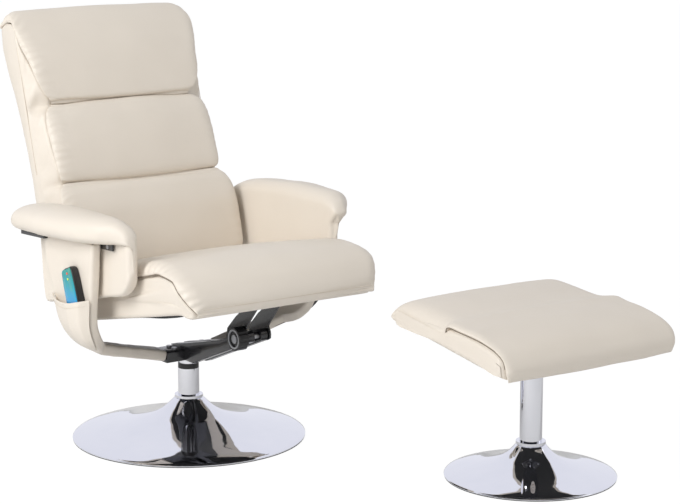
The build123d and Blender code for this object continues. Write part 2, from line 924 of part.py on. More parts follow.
# Handset: length runs down from its top edge, width towards the rear
def remote_face_at(down, side):
    return Pos(-down, side)


def remote_outline(margin):
    length = remote_length - 2 * margin
    width = remote_width - 2 * margin
    return Pos(-remote_length / 2, 0) * RectangleRounded(length, width, remote_corner - margin)


def remote_front():
    return remote_stand_off + remote_depth


def button_places():
    return [(button_down, side * button_side) for side in (-1, 1)]


def remote_discs(radius, start, end, places):
    discs = Part()
    for down, side in places:
        discs += layer(remote_plane(), remote_face_at(down, side) * Circle(radius), start, end)
    return discs


def led_places():
    return [(down, 0) for down in led_downs]


def remote_case():
    front = remote_front()
    floor = front - remote_face_depth
    case = layer(remote_plane(), remote_outline(0), remote_stand_off, front)
    case -= layer(remote_plane(), remote_outline(remote_face_margin), floor, front)
    inside = remote_outline(remote_face_margin)
    case -= layer(remote_plane(), inside, remote_stand_off + remote_wall, floor - remote_wall)
    return case - remote_discs(button_stem_radius + gap, floor - remote_wall, floor, button_places())


def remote_face():
    front = remote_front()
    face = layer(remote_plane(), remote_outline(remote_face_margin + bore_gap), front - remote_face_depth, front)
    face -= remote_discs(button_radius + gap, front - remote_face_depth, front, button_places())
    return face - remote_discs(led_radius + bore_gap, front - remote_face_depth, front, led_places())


def remote_leds():
    front = remote_front()
    return remote_discs(led_radius, front - remote_face_depth, front + led_proud, led_places())


def remote_board_top():
    return remote_front() - remote_face_depth - remote_wall


def remote_board():
    board_top = remote_board_top() - remote_wall
    outline_face = remote_outline(remote_face_margin + gap)
    board = layer(remote_plane(), outline_face, board_top - remote_board_depth, board_top)
    post_places = ((remote_corner, 0), (remote_length - remote_corner, 0))
    posts = remote_discs(remote_post_radius, remote_stand_off + remote_wall, board_top, post_places)
    return board + posts


def remote_button(place):
    top = remote_front() + button_proud
    cap = remote_discs(button_radius, top - button_depth, top, [place])
    stem_end = remote_board_top() - remote_wall + button_travel + gap
    return cap + remote_discs(button_stem_radius, stem_end, top - button_depth, [place])


# Back shell: an upholstered hollow case, seen from the side as up-the-back and forward places
def shell_top_place(angle, grow=0.0):
    radius = shell_top_up - shell_crown_up
    turn = math.radians(angle)
    centre_rear = shell_crown_rear + radius
    return shell_crown_up + (radius + grow) * math.sin(turn), centre_rear - (radius + grow) * math.cos(turn)


def shell_face(inset):
    face = outline(
        (shell_foot_up, shell_front),
        (shell_heel_up, shell_heel_rear),
        (shell_low_rear_up, shell_low_rear),
        ((shell_waist_up, shell_waist_rear), (shell_chest_up, shell_chest_rear)),
        ((shell_neck_up, shell_neck_rear), (shell_crown_up, shell_crown_rear)),
        (shell_top_place(45), shell_top_place(90)),
        (shell_top_up, shell_front),
    )
    return offset(face, amount=-inset) if inset else face


def back_shell():
    shell = slab(back_plane(), shell_face(0), shell_half_width)
    shell -= slab(back_plane(), shell_face(shell_wall), shell_half_width - shell_wall)
    return shell - hinge_room()


# Room in the upholstery for a hinge plate and its pin on each side
def hinge_room():
    start = plate_start() - gap
    room = layer(side_plane(), plate_side_face(2 * gap), start, start + plate_thickness + 2 * gap)
    room += bar_x(pivot_y, pivot_z, pin_head_radius + 2 * gap, start - pin_head_length, start)
    room += bar_x(pivot_y, pivot_z, pivot_radius + 2 * gap, start, ear_inner)
    return room + other_side(room)


# Depth of a cushion surface, reduced towards its sides
def cushion_front(depth, depth_share):
    seat = shell_front + gap
    return seat + (depth - seat) * depth_share


# Line of the back's lower edge, parallel to the seat
def lumbar_foot(depth):
    return lumbar_foot_up + (lumbar_foot_front - depth) * math.tan(math.radians(back_angle - seat_angle))


def lumbar_section(depth_share):
    seat = shell_front + gap
    foot = cushion_front(lumbar_foot_front, depth_share)
    belly = cushion_front(lumbar_belly_front, depth_share)
    top = cushion_front(groove_low_front, depth_share)
    top_up = groove_low_up - groove_half_gap
    swell = (belly - foot) * back_edge_share
    return outline(
        (lumbar_foot(seat), seat),
        (lumbar_foot(foot), foot),
        ((lumbar_foot_up + (lumbar_belly_up - lumbar_foot_up) * half_share, foot + swell), (lumbar_belly_up, belly)),
        ((top_up - groove_tuck, top + (belly - top) * back_edge_share), (top_up, top)),
        (top_up, seat),
    )


def mid_section(depth_share):
    seat = shell_front + gap
    low = cushion_front(groove_low_front, depth_share)
    crown = cushion_front(mid_crown_front, depth_share)
    high = cushion_front(groove_high_front, depth_share)
    low_up = groove_low_up + groove_half_gap
    high_up = groove_high_up - groove_half_gap
    return outline(
        (low_up, seat),
        (low_up, low),
        ((low_up + groove_tuck, low + (crown - low) * back_edge_share), (mid_crown_up, crown)),
        ((high_up - groove_tuck, high + (crown - high) * back_edge_share), (high_up, high)),
        (high_up, seat),
    )


def head_section(depth_share):
    seat = shell_front + gap
    low = cushion_front(groove_high_front, depth_share)
    crown = cushion_front(head_crown_front, depth_share)
    low_up = groove_high_up + groove_half_gap
    seam_up, seam_rear = shell_top_place(45, 3 * gap)
    brow_up = head_crown_up + (head_crest_up - head_crown_up) * back_edge_share
    brow = head_crest_front + (crown - head_crest_front) * back_edge_share
    return outline(
        (low_up, seat),
        (low_up, low),
        ((low_up + groove_tuck, low + (crown - low) * back_edge_share), (head_crown_up, crown)),
        ((brow_up, brow), (head_crest_up, head_crest_front)),
        ((head_crest_up - groove_tuck * half_share, seam_rear + groove_tuck), (seam_up, seam_rear)),
        shell_top_place(67.5, 3 * gap),
        shell_top_place(90, 3 * gap),
        (shell_top_up + 3 * gap, seat),
    )


# Cushion lofted across the chair and trimmed to its outline as seen from the front
def back_cushion(section, half_width, front_view):
    sections = []
    for share, depth_share in zip(back_crown_shares, back_depth_shares):
        sections.append(back_plane(share * half_width) * section(depth_share))
    view = Plane(origin=(0, pivot_y, pivot_z), x_dir=(1, 0, 0), z_dir=back_plane().y_dir)
    return loft(sections) & slab(view, front_view, head_crest_up)


# Outline as seen from the front, from its right half
def both_halves(right_half):
    left_half = [(-x, up) for x, up in reversed(right_half)]
    return make_face(Polyline(*right_half, *left_half, close=True))


def lumbar_cushion():
    view = both_halves(
        [
            (lumbar_foot_width, lumbar_foot_up - overrun),
            (lumbar_width, groove_low_up - 2 * lumbar_width_inset_up),
            (lumbar_width - overrun, groove_low_up - lumbar_width_inset_up / 2),
            (tip_width_low, groove_low_up),
        ]
    )
    return back_cushion(lumbar_section, lumbar_width, view) - hinge_room()


def mid_cushion():
    view = both_halves(
        [
            (tip_width_low, groove_low_up),
            (mid_width, mid_crown_up),
            (mid_width - overrun, groove_high_up - 2 * mid_width_inset_up),
            (tip_width_high, groove_high_up),
        ]
    )
    return back_cushion(mid_section, mid_width, view)


def head_cushion():
    view = both_halves(
        [
            (tip_width_high, groove_high_up),
            (head_width_low, head_width_low_up),
            (head_width_mid, head_width_mid_up),
            (head_width_top, head_width_crown_up),
            (head_width_mid, head_crest_up + overrun),
        ]
    )
    return back_cushion(head_section, head_width_top, view)


# Steel frame in the back, with a cross bar
def back_frame():
    height = frame_high_up - frame_low_up
    middle = frame_low_up + height / 2
    hole_height = height - 2 * frame_tube
    hole_width = 2 * (frame_half_width - frame_tube)
    ring = Pos(0, middle) * RectangleRounded(2 * frame_half_width, height, frame_corner)
    ring -= Pos(0, middle) * RectangleRounded(hole_width, hole_height, frame_corner - frame_tube)
    ring += Pos(0, frame_bar_up) * Rectangle(hole_width, frame_tube)
    view = Plane(origin=(0, pivot_y, pivot_z), x_dir=(1, 0, 0), z_dir=back_plane().y_dir)
    return layer(view, ring, frame_rear, frame_rear + frame_tube)


# Link pivot between back and seat, below the recline pivot
def link_point():
    lean = math.radians(link_lean)
    return pivot_y - hinge_drop * math.sin(lean), pivot_z - hinge_drop * math.cos(lean)


# Slot-shaped face around two points
def stadium(first, second, radius):
    run_x = second[0] - first[0]
    run_y = second[1] - first[1]
    length = math.hypot(run_x, run_y)
    along_x = run_x / length * radius
    along_y = run_y / length * radius
    return outline(
        (first[0] - along_y, first[1] + along_x),
        ((first[0] - along_x, first[1] - along_y), (first[0] + along_y, first[1] - along_x)),
        (second[0] + along_y, second[1] - along_x),
        ((second[0] + along_x, second[1] + along_y), (second[0] - along_y, second[1] + along_x)),
    )


def back_to_side(up, forward):
    lean = math.radians(back_angle)
    y = pivot_y + up * math.sin(lean) - forward * math.cos(lean)
    return y, pivot_z + up * math.cos(lean) + forward * math.sin(lean)


def plate_side_face(grow):
    radius = plate_half_width + grow
    face = stadium(link_point(), (pivot_y, pivot_z), radius)
    arm = Polyline(
        back_to_side(0, frame_rear),
        back_to_side(plate_top_up, frame_rear),
        back_to_side(plate_top_up, frame_rear + frame_tube),
        back_to_side(0, radius * half_share),
        close=True,
    )
    return face + make_face(arm)


def plate_start():
    return frame_half_width + gap


def back_hinge_plate():
    link_y, link_z = link_point()
    start = plate_start()
    plate = layer(side_plane(), plate_side_face(0), start, start + plate_thickness)
    plate -= bar_x(pivot_y, pivot_z, pivot_radius + bore_gap, 0, panel_face)
    return plate - bar_x(link_y, link_z, link_pin_radius + bore_gap, 0, panel_face)


def seat_arm_start():
    return plate_start() + plate_thickness + 2 * gap


# Pins of both pivots; the upper ones have a shoulder between the shell and the ear
def back_pins():
    link_y, link_z = link_point()
    head_start = plate_start() - pin_head_length
    link_end = seat_arm_start() + plate_thickness + link_pin_end
    pins = bar_x(pivot_y, pivot_z, pin_head_radius, head_start, plate_start())
    pins += bar_x(pivot_y, pivot_z, pivot_radius, head_start, ear_outer - gap)
    pins += bar_x(pivot_y, pivot_z, spacer_radius, shell_half_width + gap, ear_inner - gap)
    pins += bar_x(link_y, link_z, link_pin_head_radius, head_start, plate_start())
    pins += bar_x(link_y, link_z, link_pin_radius, head_start, link_end)
    return pins + other_side(pins)


# Elastic straps across the front of the back frame
def back_webbing():
    straps = Sketch()
    for strap in range(back_straps):
        up = back_strap_first_up + strap * back_strap_pitch
        straps += Pos(0, up) * Rectangle(2 * frame_half_width - frame_tube, strap_width)
    view = Plane(origin=(0, pivot_y, pivot_z), x_dir=(1, 0, 0), z_dir=back_plane().y_dir)
    start = frame_rear + frame_tube
    return layer(view, straps, start, start + strap_thickness)


def back_motor(up):
    view = Plane(origin=(0, pivot_y, pivot_z), x_dir=(1, 0, 0), z_dir=back_plane().y_dir)
    front = frame_rear + frame_tube - gap
    case = layer(view, Pos(0, up) * Circle(motor_radius), front - motor_height, front)
    boss_rear = front - motor_height - motor_boss_height
    return case + layer(view, Pos(0, up) * Circle(motor_boss_radius), boss_rear, front)


# Seat: planes and places along the seat line
def seat_top_plane():
    return Plane(origin=(0, seat_y, seat_z), x_dir=(1, 0, 0), z_dir=seat_plane().y_dir)


def on_seat(y, z):
    tilt = math.radians(seat_angle)
    forward = -(y - seat_y) * math.cos(tilt) + (z - seat_z) * math.sin(tilt)
    up = (y - seat_y) * math.sin(tilt) + (z - seat_z) * math.cos(tilt)
    return forward, up


def seat_hollow_front():
    return seat_nose_forward - seat_wall


def seat_hollow_rear():
    return seat_rear + seat_wall


def seat_hollow_half():
    return seat_arm_start() + plate_thickness + 2 * gap


def seat_box():
    side = outline(
        (seat_rear, seat_bottom),
        (seat_rear, seat_board_top - gap),
        (seat_board_front, seat_board_top - gap),
        ((seat_brow_forward - gap, seat_brow_up - gap), (seat_nose_forward - gap, seat_nose_up)),
        (seat_toe_forward - gap, seat_toe_up),
        (seat_lip_forward, seat_lip_up),
        (seat_lip_rear_forward, seat_bottom),
    )
    box = slab(seat_plane(), side, seat_half_width)
    hollow = make_face(
        Polyline(
            (seat_hollow_rear(), seat_lip_up - overrun),
            (seat_hollow_rear(), overrun),
            (seat_hollow_front(), overrun),
            (seat_hollow_front(), seat_lip_up - overrun),
            close=True,
        )
    )
    box -= slab(seat_plane(), hollow, seat_hollow_half())
    arm_room = stadium(on_seat(*link_point()), seat_arm_end(), seat_arm_width / 2 + 2 * gap)
    arm_side = seat_arm_start() + plate_thickness + 2 * gap
    return box - slab(seat_plane(), arm_room, arm_side)


# Cushion over the seat: lift is 1 in the middle and 0 at the sides
def seat_section(lift):
    drop = seat_edge_drop * (1 - lift)
    rear_top = -cushion_rear_drop - drop
    crown = cushion_crown * lift
    round_size = cushion_rear_round
    edge_share = 1 - math.sin(math.radians(45))
    turn = (seat_rear + round_size * edge_share, rear_top - round_size * half_share * edge_share)
    middle = cushion_flat_forward / 2
    return outline(
        (seat_rear, seat_board_top),
        (seat_rear, rear_top - round_size * half_share),
        (turn, (seat_rear + round_size, rear_top)),
        (-seat_rear * half_share, rear_top),
        ((middle, cushion_top + crown - drop), (cushion_flat_forward, cushion_top + crown / 2 - drop)),
        (
            (cushion_brow_forward - drop * half_share, cushion_brow_up + crown / 2 - drop * half_share),
            (cushion_nose_forward - drop * half_share, cushion_nose_up),
        ),
        (
            (cushion_chin_forward - drop * half_share, cushion_chin_up),
            (cushion_hem_forward - drop * half_share, cushion_hem_up),
        ),
        (seat_toe_forward, cushion_hem_inner_up),
        (seat_toe_forward, seat_toe_up),
        (seat_nose_forward, seat_nose_up),
        ((seat_brow_forward, seat_brow_up), (seat_board_front, seat_board_top)),
    )


def across_shares():
    shares = (-1.0, -seat_edge_share, -seat_shoulder_share, 0.0, seat_shoulder_share, seat_edge_share, 1.0)
    lifts = (0.0, 1.0 - seat_shoulder_share * half_share, seat_edge_share, 1.0)
    return zip(shares, lifts + lifts[-2::-1])


def seat_cushion():
    return loft([seat_plane(-share * cushion_half_width) * seat_section(lift) for share, lift in across_shares()])


# Flat layer inside the seat box
def seat_tray(half_width, bottom, top):
    length = seat_hollow_front() - seat_hollow_rear() - 2 * gap
    middle = (seat_hollow_front() + seat_hollow_rear()) / 2
    tray = Pos(0, -middle) * Rectangle(2 * half_width, length)
    return layer(seat_top_plane(), tray, bottom, top)


def board_top():
    return seat_bottom + dust_cover_thickness + gap + board_thickness


def seat_bolt_places():
    x = seat_bracket_inner + seat_bracket_thickness + seat_bracket_flange / 2
    return [(side * x, forward) for side in (-1, 1) for forward in seat_bolt_forwards]


def seat_bolt_shafts(radius):
    shafts = Part()
    bottom = seat_bottom - gap - seat_bracket_thickness
    for x, forward in seat_bolt_places():
        shafts += layer(seat_top_plane(), Pos(x, -forward) * Circle(radius), bottom, board_top())
    return shafts


def seat_bolts():
    bolts = seat_bolt_shafts(seat_bolt_radius)
    top = seat_bottom - gap - seat_bracket_thickness
    for x, forward in seat_bolt_places():
        head = Pos(x, -forward) * Circle(seat_bolt_head_radius)
        bolts += layer(seat_top_plane(), head, top - seat_bolt_head_height, top)
    return bolts


def seat_dust_cover():
    sheet = seat_tray(seat_hollow_half() - gap, seat_bottom, seat_bottom + dust_cover_thickness)
    return sheet - seat_bolt_shafts(seat_bolt_radius + bore_gap)


def seat_board():
    bottom = seat_bottom + dust_cover_thickness + gap
    board = seat_tray(seat_arm_start() - gap, bottom, board_top())
    return board - seat_bolt_shafts(seat_bolt_radius + bore_gap)


def seat_frame_top():
    return board_top() + seat_frame_tube


def seat_frame():
    half = seat_arm_start() - gap
    frame = seat_tray(half, board_top(), seat_frame_top())
    middle = (seat_hollow_front() + seat_hollow_rear()) / 2
    length = seat_hollow_front() - seat_hollow_rear() - 2 * gap - 2 * seat_frame_tube
    hole = Pos(0, -middle) * Rectangle(2 * (half - seat_frame_tube), length)
    return frame - layer(seat_top_plane(), hole, board_top(), seat_frame_top())


def seat_webbing():
    half = seat_arm_start() - seat_frame_margin
    length = seat_hollow_front() - seat_hollow_rear() - 2 * seat_frame_margin
    middle = (seat_hollow_front() + seat_hollow_rear()) / 2
    straps = Sketch()
    for strap in range(seat_straps_along):
        x = (strap - (seat_straps_along - 1) / 2) * 2 * half / seat_straps_along
        straps += Pos(x, -middle) * Rectangle(strap_width, length)
    for strap in range(seat_straps_across):
        forward = middle + (strap - (seat_straps_across - 1) / 2) * length / seat_straps_across
        straps += Pos(0, -forward) * Rectangle(2 * half, strap_width)
    return layer(seat_top_plane(), straps, seat_frame_top(), seat_frame_top() + strap_thickness)


def seat_foam():
    low = seat_frame_top() + strap_thickness + gap
    high = seat_board_top - 2 * gap
    rear = seat_hollow_rear() + gap
    front = seat_hollow_front() - gap
    side = outline((rear, low), (rear, high), (foam_front, high), (foam_nose_forward, foam_nose_up), (front, low))
    return slab(seat_plane(), side, seat_arm_start() - gap)


def seat_motor():
    place = Pos(0, -seat_motor_forward)
    top = seat_frame_top() - gap
    motor = layer(seat_top_plane(), place * Circle(motor_radius), top - motor_height, top)
    return motor + layer(seat_top_plane(), place * Circle(motor_boss_radius), board_top() + gap, top)


# Steel arms from the seat frame back to the link pivots; their holes are slots across its slope
def seat_arm_end():
    return seat_arm_reach, board_top() + seat_frame_tube / 2


def seat_hinge_arm():
    link = on_seat(*link_point())
    start = seat_arm_start()
    arm = stadium(link, seat_arm_end(), seat_arm_width / 2)
    slot_low = (link[0], link[1] - link_slot_depth)
    arm -= stadium(slot_low, link, link_pin_radius + gap)
    right = layer(seat_plane(), arm, start, start + plate_thickness)
    return other_side(right)


# Slotted brackets under the seat that ride on the lock rod
def seat_bracket():
    rod_forward, rod_up = on_seat(rod_y, rod_z())
    front = rod_forward + slot_spare
    rear = rod_forward - seat_travel - slot_spare
    radius = rod_radius + seat_bracket_margin
    top = seat_bottom - gap
    corner_share = math.sin(math.radians(45))
    face = outline(
        (seat_bracket_rear, top),
        (seat_bracket_front, top),
        (front + radius, rod_up),
        ((front + radius * corner_share, rod_up - radius * corner_share), (front, rod_up - radius)),
        (rear, rod_up - radius),
        ((rear - radius * corner_share, rod_up - radius * corner_share), (rear - radius, rod_up)),
    )
    face -= stadium((rear, rod_up), (front, rod_up), rod_radius + turning_gap)
    start = seat_bracket_inner
    bracket = layer(seat_plane(), face, start, start + seat_bracket_thickness)
    flange_x = -start - (seat_bracket_thickness + seat_bracket_flange) / 2
    flange_length = seat_bracket_front - seat_bracket_rear
    flange_middle = (seat_bracket_front + seat_bracket_rear) / 2
    flange = Rectangle(seat_bracket_thickness + seat_bracket_flange, flange_length)
    flange = Pos(flange_x, -flange_middle) * flange
    bracket += layer(seat_top_plane(), flange, top - seat_bracket_thickness, top)
    return other_side(bracket - seat_bolt_shafts(seat_bolt_radius + bore_gap))


# Footstool: box, cushion and what holds them on the post
def stool_top_plane():
    return Plane(origin=(stool_x, stool_y, stool_z), x_dir=(1, 0, 0), z_dir=stool_plane().y_dir)


def stool_box():
    side = outline(
        (stool_rear_low, 0),
        (stool_rear, stool_rear_low_up),
        (stool_rear, stool_rear_up),
        (stool_step_rear, stool_step_rear_up),
        (stool_step_front, stool_step_front_up),
        (stool_slit_forward, stool_slit_up),
        ((stool_brow_forward, stool_brow_up), (stool_nose_forward, stool_nose_up)),
        (stool_toe_forward, 0),
    )
    box = slab(stool_plane(), side, stool_half_width)
    return box - stool_tray(-overrun, stool_hollow_top(), 0)


def stool_hollow_top():
    return dust_cover_thickness + stool_board_thickness + gap


def stool_tray(bottom, top, margin):
    rear = stool_rear_low + stool_wall
    front = stool_toe_forward - stool_wall
    width = 2 * (stool_half_width - stool_wall - margin)
    tray = Pos(0, -(rear + front) / 2) * Rectangle(width, front - rear - 2 * margin)
    return layer(stool_top_plane(), tray, bottom, top)


def pad_section(lift):
    drop = pad_edge_drop * (1 - lift)
    inset = drop
    return outline(
        (stool_rear, stool_rear_up + gap),
        ((pad_rear_shoulder_forward, pad_rear_shoulder_up - drop), (pad_rear_top_forward, pad_rear_top_up - drop)),
        (pad_saddle_forward, pad_saddle_up - drop),
        ((pad_crown_forward, pad_crown_up - drop), (pad_brow_forward - inset, pad_brow_up - drop)),
        (
            (pad_nose_forward - inset - gap, (pad_nose_up + pad_brow_up) / 2),
            (pad_nose_forward - inset, pad_nose_up),
        ),
        (pad_hem_forward - inset, pad_hem_up),
        (stool_toe_forward + gap, pad_hem_up),
        (stool_toe_forward + gap, 0),
        (stool_nose_forward + gap, stool_nose_up + gap),
        ((stool_brow_forward + gap, stool_brow_up + gap), (stool_slit_forward, stool_slit_up + gap)),
        (stool_step_front, stool_step_front_up + gap),
        (stool_step_rear, stool_step_rear_up + gap),
    )


def stool_cushion():
    return loft([stool_plane(-share * pad_half_width) * pad_section(lift) for share, lift in across_shares()])


def stool_bolt_places():
    return [(x * stool_bolt_pitch, y * stool_bolt_pitch) for x in (-1, 1) for y in (-1, 1)]


def stool_bolt_shafts(radius):
    shafts = Part()
    for x, y in stool_bolt_places():
        disc = Pos(x, y) * Circle(radius)
        shafts += layer(stool_top_plane(), disc, -gap - stool_plate_thickness, stool_bolt_grip)
    return shafts


def stool_bolts():
    bolts = stool_bolt_shafts(stool_bolt_radius)
    top = -gap - stool_plate_thickness
    for x, y in stool_bolt_places():
        head = Pos(x, y) * Circle(stool_bolt_head_radius)
        bolts += layer(stool_top_plane(), head, top - stool_bolt_head_height, top)
    return bolts


def stool_dust_cover():
    return stool_tray(0, dust_cover_thickness, gap) - stool_bolt_shafts(stool_bolt_radius + bore_gap)


def stool_board():
    bottom = dust_cover_thickness + bore_gap
    board = stool_tray(bottom, bottom + stool_board_thickness, gap)
    return board - stool_bolt_shafts(stool_bolt_radius + bore_gap)


def stool_top_plate():
    plate = RectangleRounded(2 * stool_plate_half, 2 * stool_plate_half, rod_radius)
    plate = layer(stool_top_plane(), plate, -gap - stool_plate_thickness, -gap)
    return plate - stool_bolt_shafts(stool_bolt_radius + bore_gap)


def stool_post():
    post = base_post(stool_z)
    above = layer(
        stool_top_plane(),
        Rectangle(2 * stool_plate_half, 2 * stool_plate_half),
        -gap - stool_plate_thickness,
        stool_z,
    )
    return Pos(stool_x, stool_y) * post - above


def at_stool(piece):
    return Pos(stool_x, stool_y) * piece


def pair(piece):
    return piece + other_side(piece)


# Every piece under the name of its file
def chair_base_pieces():
    return {
        "chair_floor_pad": floor_pad(chair_rim_radius),
        "chair_ballast_plate": ballast_plate(chair_rim_radius),
        "chair_base_shell": base_shell(chair_rim_radius, chair_neck_height),
        "chair_base_collar": base_collar(chair_neck_height),
        "chair_post": base_post(chair_post_top),
        "chair_base_bolt": base_bolt(),
        "swivel_bushing": swivel_bushing(),
    }


def swivel_pieces():
    return {
        "swivel_spindle": swivel_spindle(),
        "hub_tube": hub_tube(),
        "hub_bolts": hub_bolts(),
        "rise_arms": pair(rise_arm()),
        "lock_rod": lock_rod(),
        "side_bars": pair(side_bar()),
        "side_frame_left": side_frame(),
        "side_frame_right": other_side(side_frame()),
        "armrest_rails": pair(armrest_rail()),
        "armrest_left": armrest(),
        "armrest_right": other_side(armrest()),
        "armrest_bolts": armrest_bolts(),
        "remote_pocket": remote_pocket(),
        "lock_knob": lock_knob(),
        "lock_knob_trim": lock_knob_trim(),
    }


def remote_pieces():
    pieces = {
        "remote_case": remote_case(),
        "remote_face": remote_face(),
        "remote_board": remote_board(),
        "remote_leds": remote_leds(),
    }
    for number, place in enumerate(button_places(), start=1):
        pieces[f"remote_button_{number}"] = remote_button(place)
    return pieces


def back_pieces():
    return {
        "back_shell": back_shell(),
        "lumbar_cushion": lumbar_cushion(),
        "mid_cushion": mid_cushion(),
        "head_cushion": head_cushion(),
        "back_frame": back_frame(),
        "back_webbing": back_webbing(),
        "back_hinge_plates": pair(back_hinge_plate()),
        "back_pins": back_pins(),
        "back_motors": back_motor(back_motor_ups[0]) + back_motor(back_motor_ups[1]),
    }


def seat_pieces():
    return {
        "seat_box": seat_box(),
        "seat_cushion": seat_cushion(),
        "seat_foam": seat_foam(),
        "seat_webbing": seat_webbing(),
        "seat_frame": seat_frame(),
        "seat_board": seat_board(),
        "seat_dust_cover": seat_dust_cover(),
        "seat_hinge_arms": pair(seat_hinge_arm()),
        "seat_brackets": pair(seat_bracket()),
        "seat_bolts": seat_bolts(),
        "seat_motor": seat_motor(),
    }


def stool_pieces():
    return {
        "stool_floor_pad": at_stool(floor_pad(stool_rim_radius)),
        "stool_ballast_plate": at_stool(ballast_plate(stool_rim_radius)),
        "stool_base_shell": at_stool(base_shell(stool_rim_radius, stool_neck_height)),
        "stool_base_collar": at_stool(base_collar(stool_neck_height)),
        "stool_base_bolt": at_stool(base_bolt()),
        "stool_post": stool_post(),
        "stool_top_plate": stool_top_plate(),
        "stool_bolts": stool_bolts(),
        "stool_board": stool_board(),
        "stool_box": stool_box(),
        "stool_cushion": stool_cushion(),
        "stool_dust_cover": stool_dust_cover(),
    }


for group in (chair_base_pieces, swivel_pieces, remote_pieces, back_pieces, seat_pieces, stool_pieces):
    for name, piece in group().items():
        export_step(piece, f"parts/{name}.step")
        print(name, len(piece.solids()), round(piece.volume / 1000, 1), "cm3")
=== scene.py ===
import json
import math
import bpy
import numpy as np
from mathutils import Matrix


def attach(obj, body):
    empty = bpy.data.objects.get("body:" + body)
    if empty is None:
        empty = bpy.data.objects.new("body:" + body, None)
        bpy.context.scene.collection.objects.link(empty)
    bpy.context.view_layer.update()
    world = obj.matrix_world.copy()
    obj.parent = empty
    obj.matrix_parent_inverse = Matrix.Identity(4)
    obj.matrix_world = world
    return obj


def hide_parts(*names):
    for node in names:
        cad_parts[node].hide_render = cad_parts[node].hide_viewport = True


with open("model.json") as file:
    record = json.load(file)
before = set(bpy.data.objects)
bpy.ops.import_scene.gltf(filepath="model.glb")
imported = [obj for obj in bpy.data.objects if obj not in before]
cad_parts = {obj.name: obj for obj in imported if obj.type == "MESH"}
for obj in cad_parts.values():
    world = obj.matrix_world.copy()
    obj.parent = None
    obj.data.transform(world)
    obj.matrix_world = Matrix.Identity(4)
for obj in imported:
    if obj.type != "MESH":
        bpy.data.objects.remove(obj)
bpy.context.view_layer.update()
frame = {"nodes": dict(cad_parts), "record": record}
nodes = frame["nodes"]
print("frame loaded,", len(nodes), "nodes")

# lengths below are millimetres, the scene is in metres
mm = 0.001


# socket that can be used in plain sums
class Flow:
    def __init__(self, board, socket):
        self.board = board
        self.socket = socket

    def __add__(self, other):
        return self.board.sum("ADD", self, other)

    def __sub__(self, other):
        return self.board.sum("SUBTRACT", self, other)

    def __mul__(self, other):
        return self.board.sum("MULTIPLY", self, other)

    def __truediv__(self, other):
        return self.board.sum("DIVIDE", self, other)

    def __pow__(self, other):
        return self.board.sum("POWER", self, other)

    def __radd__(self, other):
        return self.board.sum("ADD", other, self)

    def __rsub__(self, other):
        return self.board.sum("SUBTRACT", other, self)

    def __rmul__(self, other):
        return self.board.sum("MULTIPLY", other, self)

    # another outlet of the same node
    def beside(self, name):
        return Flow(self.board, self.socket.node.outputs[name])


class Board:
    def __init__(self, name, tree=None):
        self.material = None
        if tree is None:
            self.material = bpy.data.materials.new(name)
            self.material.use_nodes = True
            tree = self.material.node_tree
        self.tree = tree
        self.tree.nodes.clear()

    # any node: its type, its settings, and the values or links of its sockets
    def make(self, kind, settings=None, sockets=None, out=0):
        node = self.tree.nodes.new("ShaderNode" + kind)
        for key, value in (settings or {}).items():
            if key == "stops":
                ramp = node.color_ramp.elements
                while len(ramp) < len(value):
                    ramp.new(0.5)
                for stop, (place, colour) in zip(ramp, value):
                    stop.position = place
                    stop.color = (*colour, 1)
            else:
                setattr(node, key, value)
        for key, value in (sockets or {}).items():
            if isinstance(value, Flow):
                self.tree.links.new(value.socket, node.inputs[key])
            else:
                node.inputs[key].default_value = value
        return Flow(self, node.outputs[out]) if len(node.outputs) else node

    def sum(self, operation, first, second):
        return self.make("Math", {"operation": operation}, {0: first, 1: second})

    def place(self, stretch=(1, 1, 1)):
        where = self.make("TexCoord", out=3)
        return self.make("Mapping", None, {"Vector": where, "Scale": stretch})

    def noise(self, size, detail=2, where=None, rough=0.5):
        sockets = {"Vector": where or self.place(), "Scale": 1 / (size * mm)}
        sockets.update({"Detail": detail, "Roughness": rough})
        return self.make("TexNoise", None, sockets)

    def cells(self, size):
        return self.make("TexVoronoi", {"feature": "F1"}, {"Vector": self.place(), "Scale": 1 / (size * mm)})

    def mixed(self, share, first, second):
        first, second = (tone if isinstance(tone, Flow) else (*tone, 1) for tone in (first, second))
        return self.make("Mix", {"data_type": "RGBA"}, {0: share, 6: first, 7: second}, out=2)

    def bump(self, height, depth, strength=1.0, onto=None):
        sockets = {"Height": height, "Distance": depth * mm, "Strength": strength}
        if onto:
            sockets["Normal"] = onto
        return self.make("Bump", None, sockets)

    def finish(self, colour, roughness, normal=None, **rest):
        sockets = {"Base Color": colour, "Roughness": roughness}
        if normal:
            sockets["Normal"] = normal
        sockets.update({key.replace("_", " "): value for key, value in rest.items()})
        surface = self.make("BsdfPrincipled", None, sockets)
        self.make("OutputMaterial", None, {"Surface": surface})
        return self.material


leather = {
    "light": (0.81, 0.743, 0.657),
    "deep": (0.775, 0.705, 0.615),
    "patch": 90,
    "grain": 1.3,
    "pores": 2.2,  # in grains
    "crease": 26,
    "creaseDepth": 1.6,
    "grainDepth": 0.22,
    "gloss": 0.44,
    "sheen": 0.42,
}


def creamLeather():
    board = Board("creamLeather")
    tone = board.noise(leather["patch"], 3)
    pebbles = board.cells(leather["grain"])
    pores = board.noise(leather["grain"] * leather["pores"], 4)
    folds = board.noise(leather["crease"], 4, board.place((1, 1, 0.6)), 0.55)
    normal = board.bump(folds, leather["creaseDepth"], 0.22)
    normal = board.bump(pebbles * 0.7 + pores * 0.5, leather["grainDepth"], 0.45, normal)
    worn = board.mixed(tone * 0.8 + pebbles * 0.2, leather["light"], leather["deep"])
    gloss = leather["gloss"] - 0.05 + folds * 0.08 + pores * 0.05
    return board.finish(worn, gloss, normal, Specular_IOR_Level=leather["sheen"])


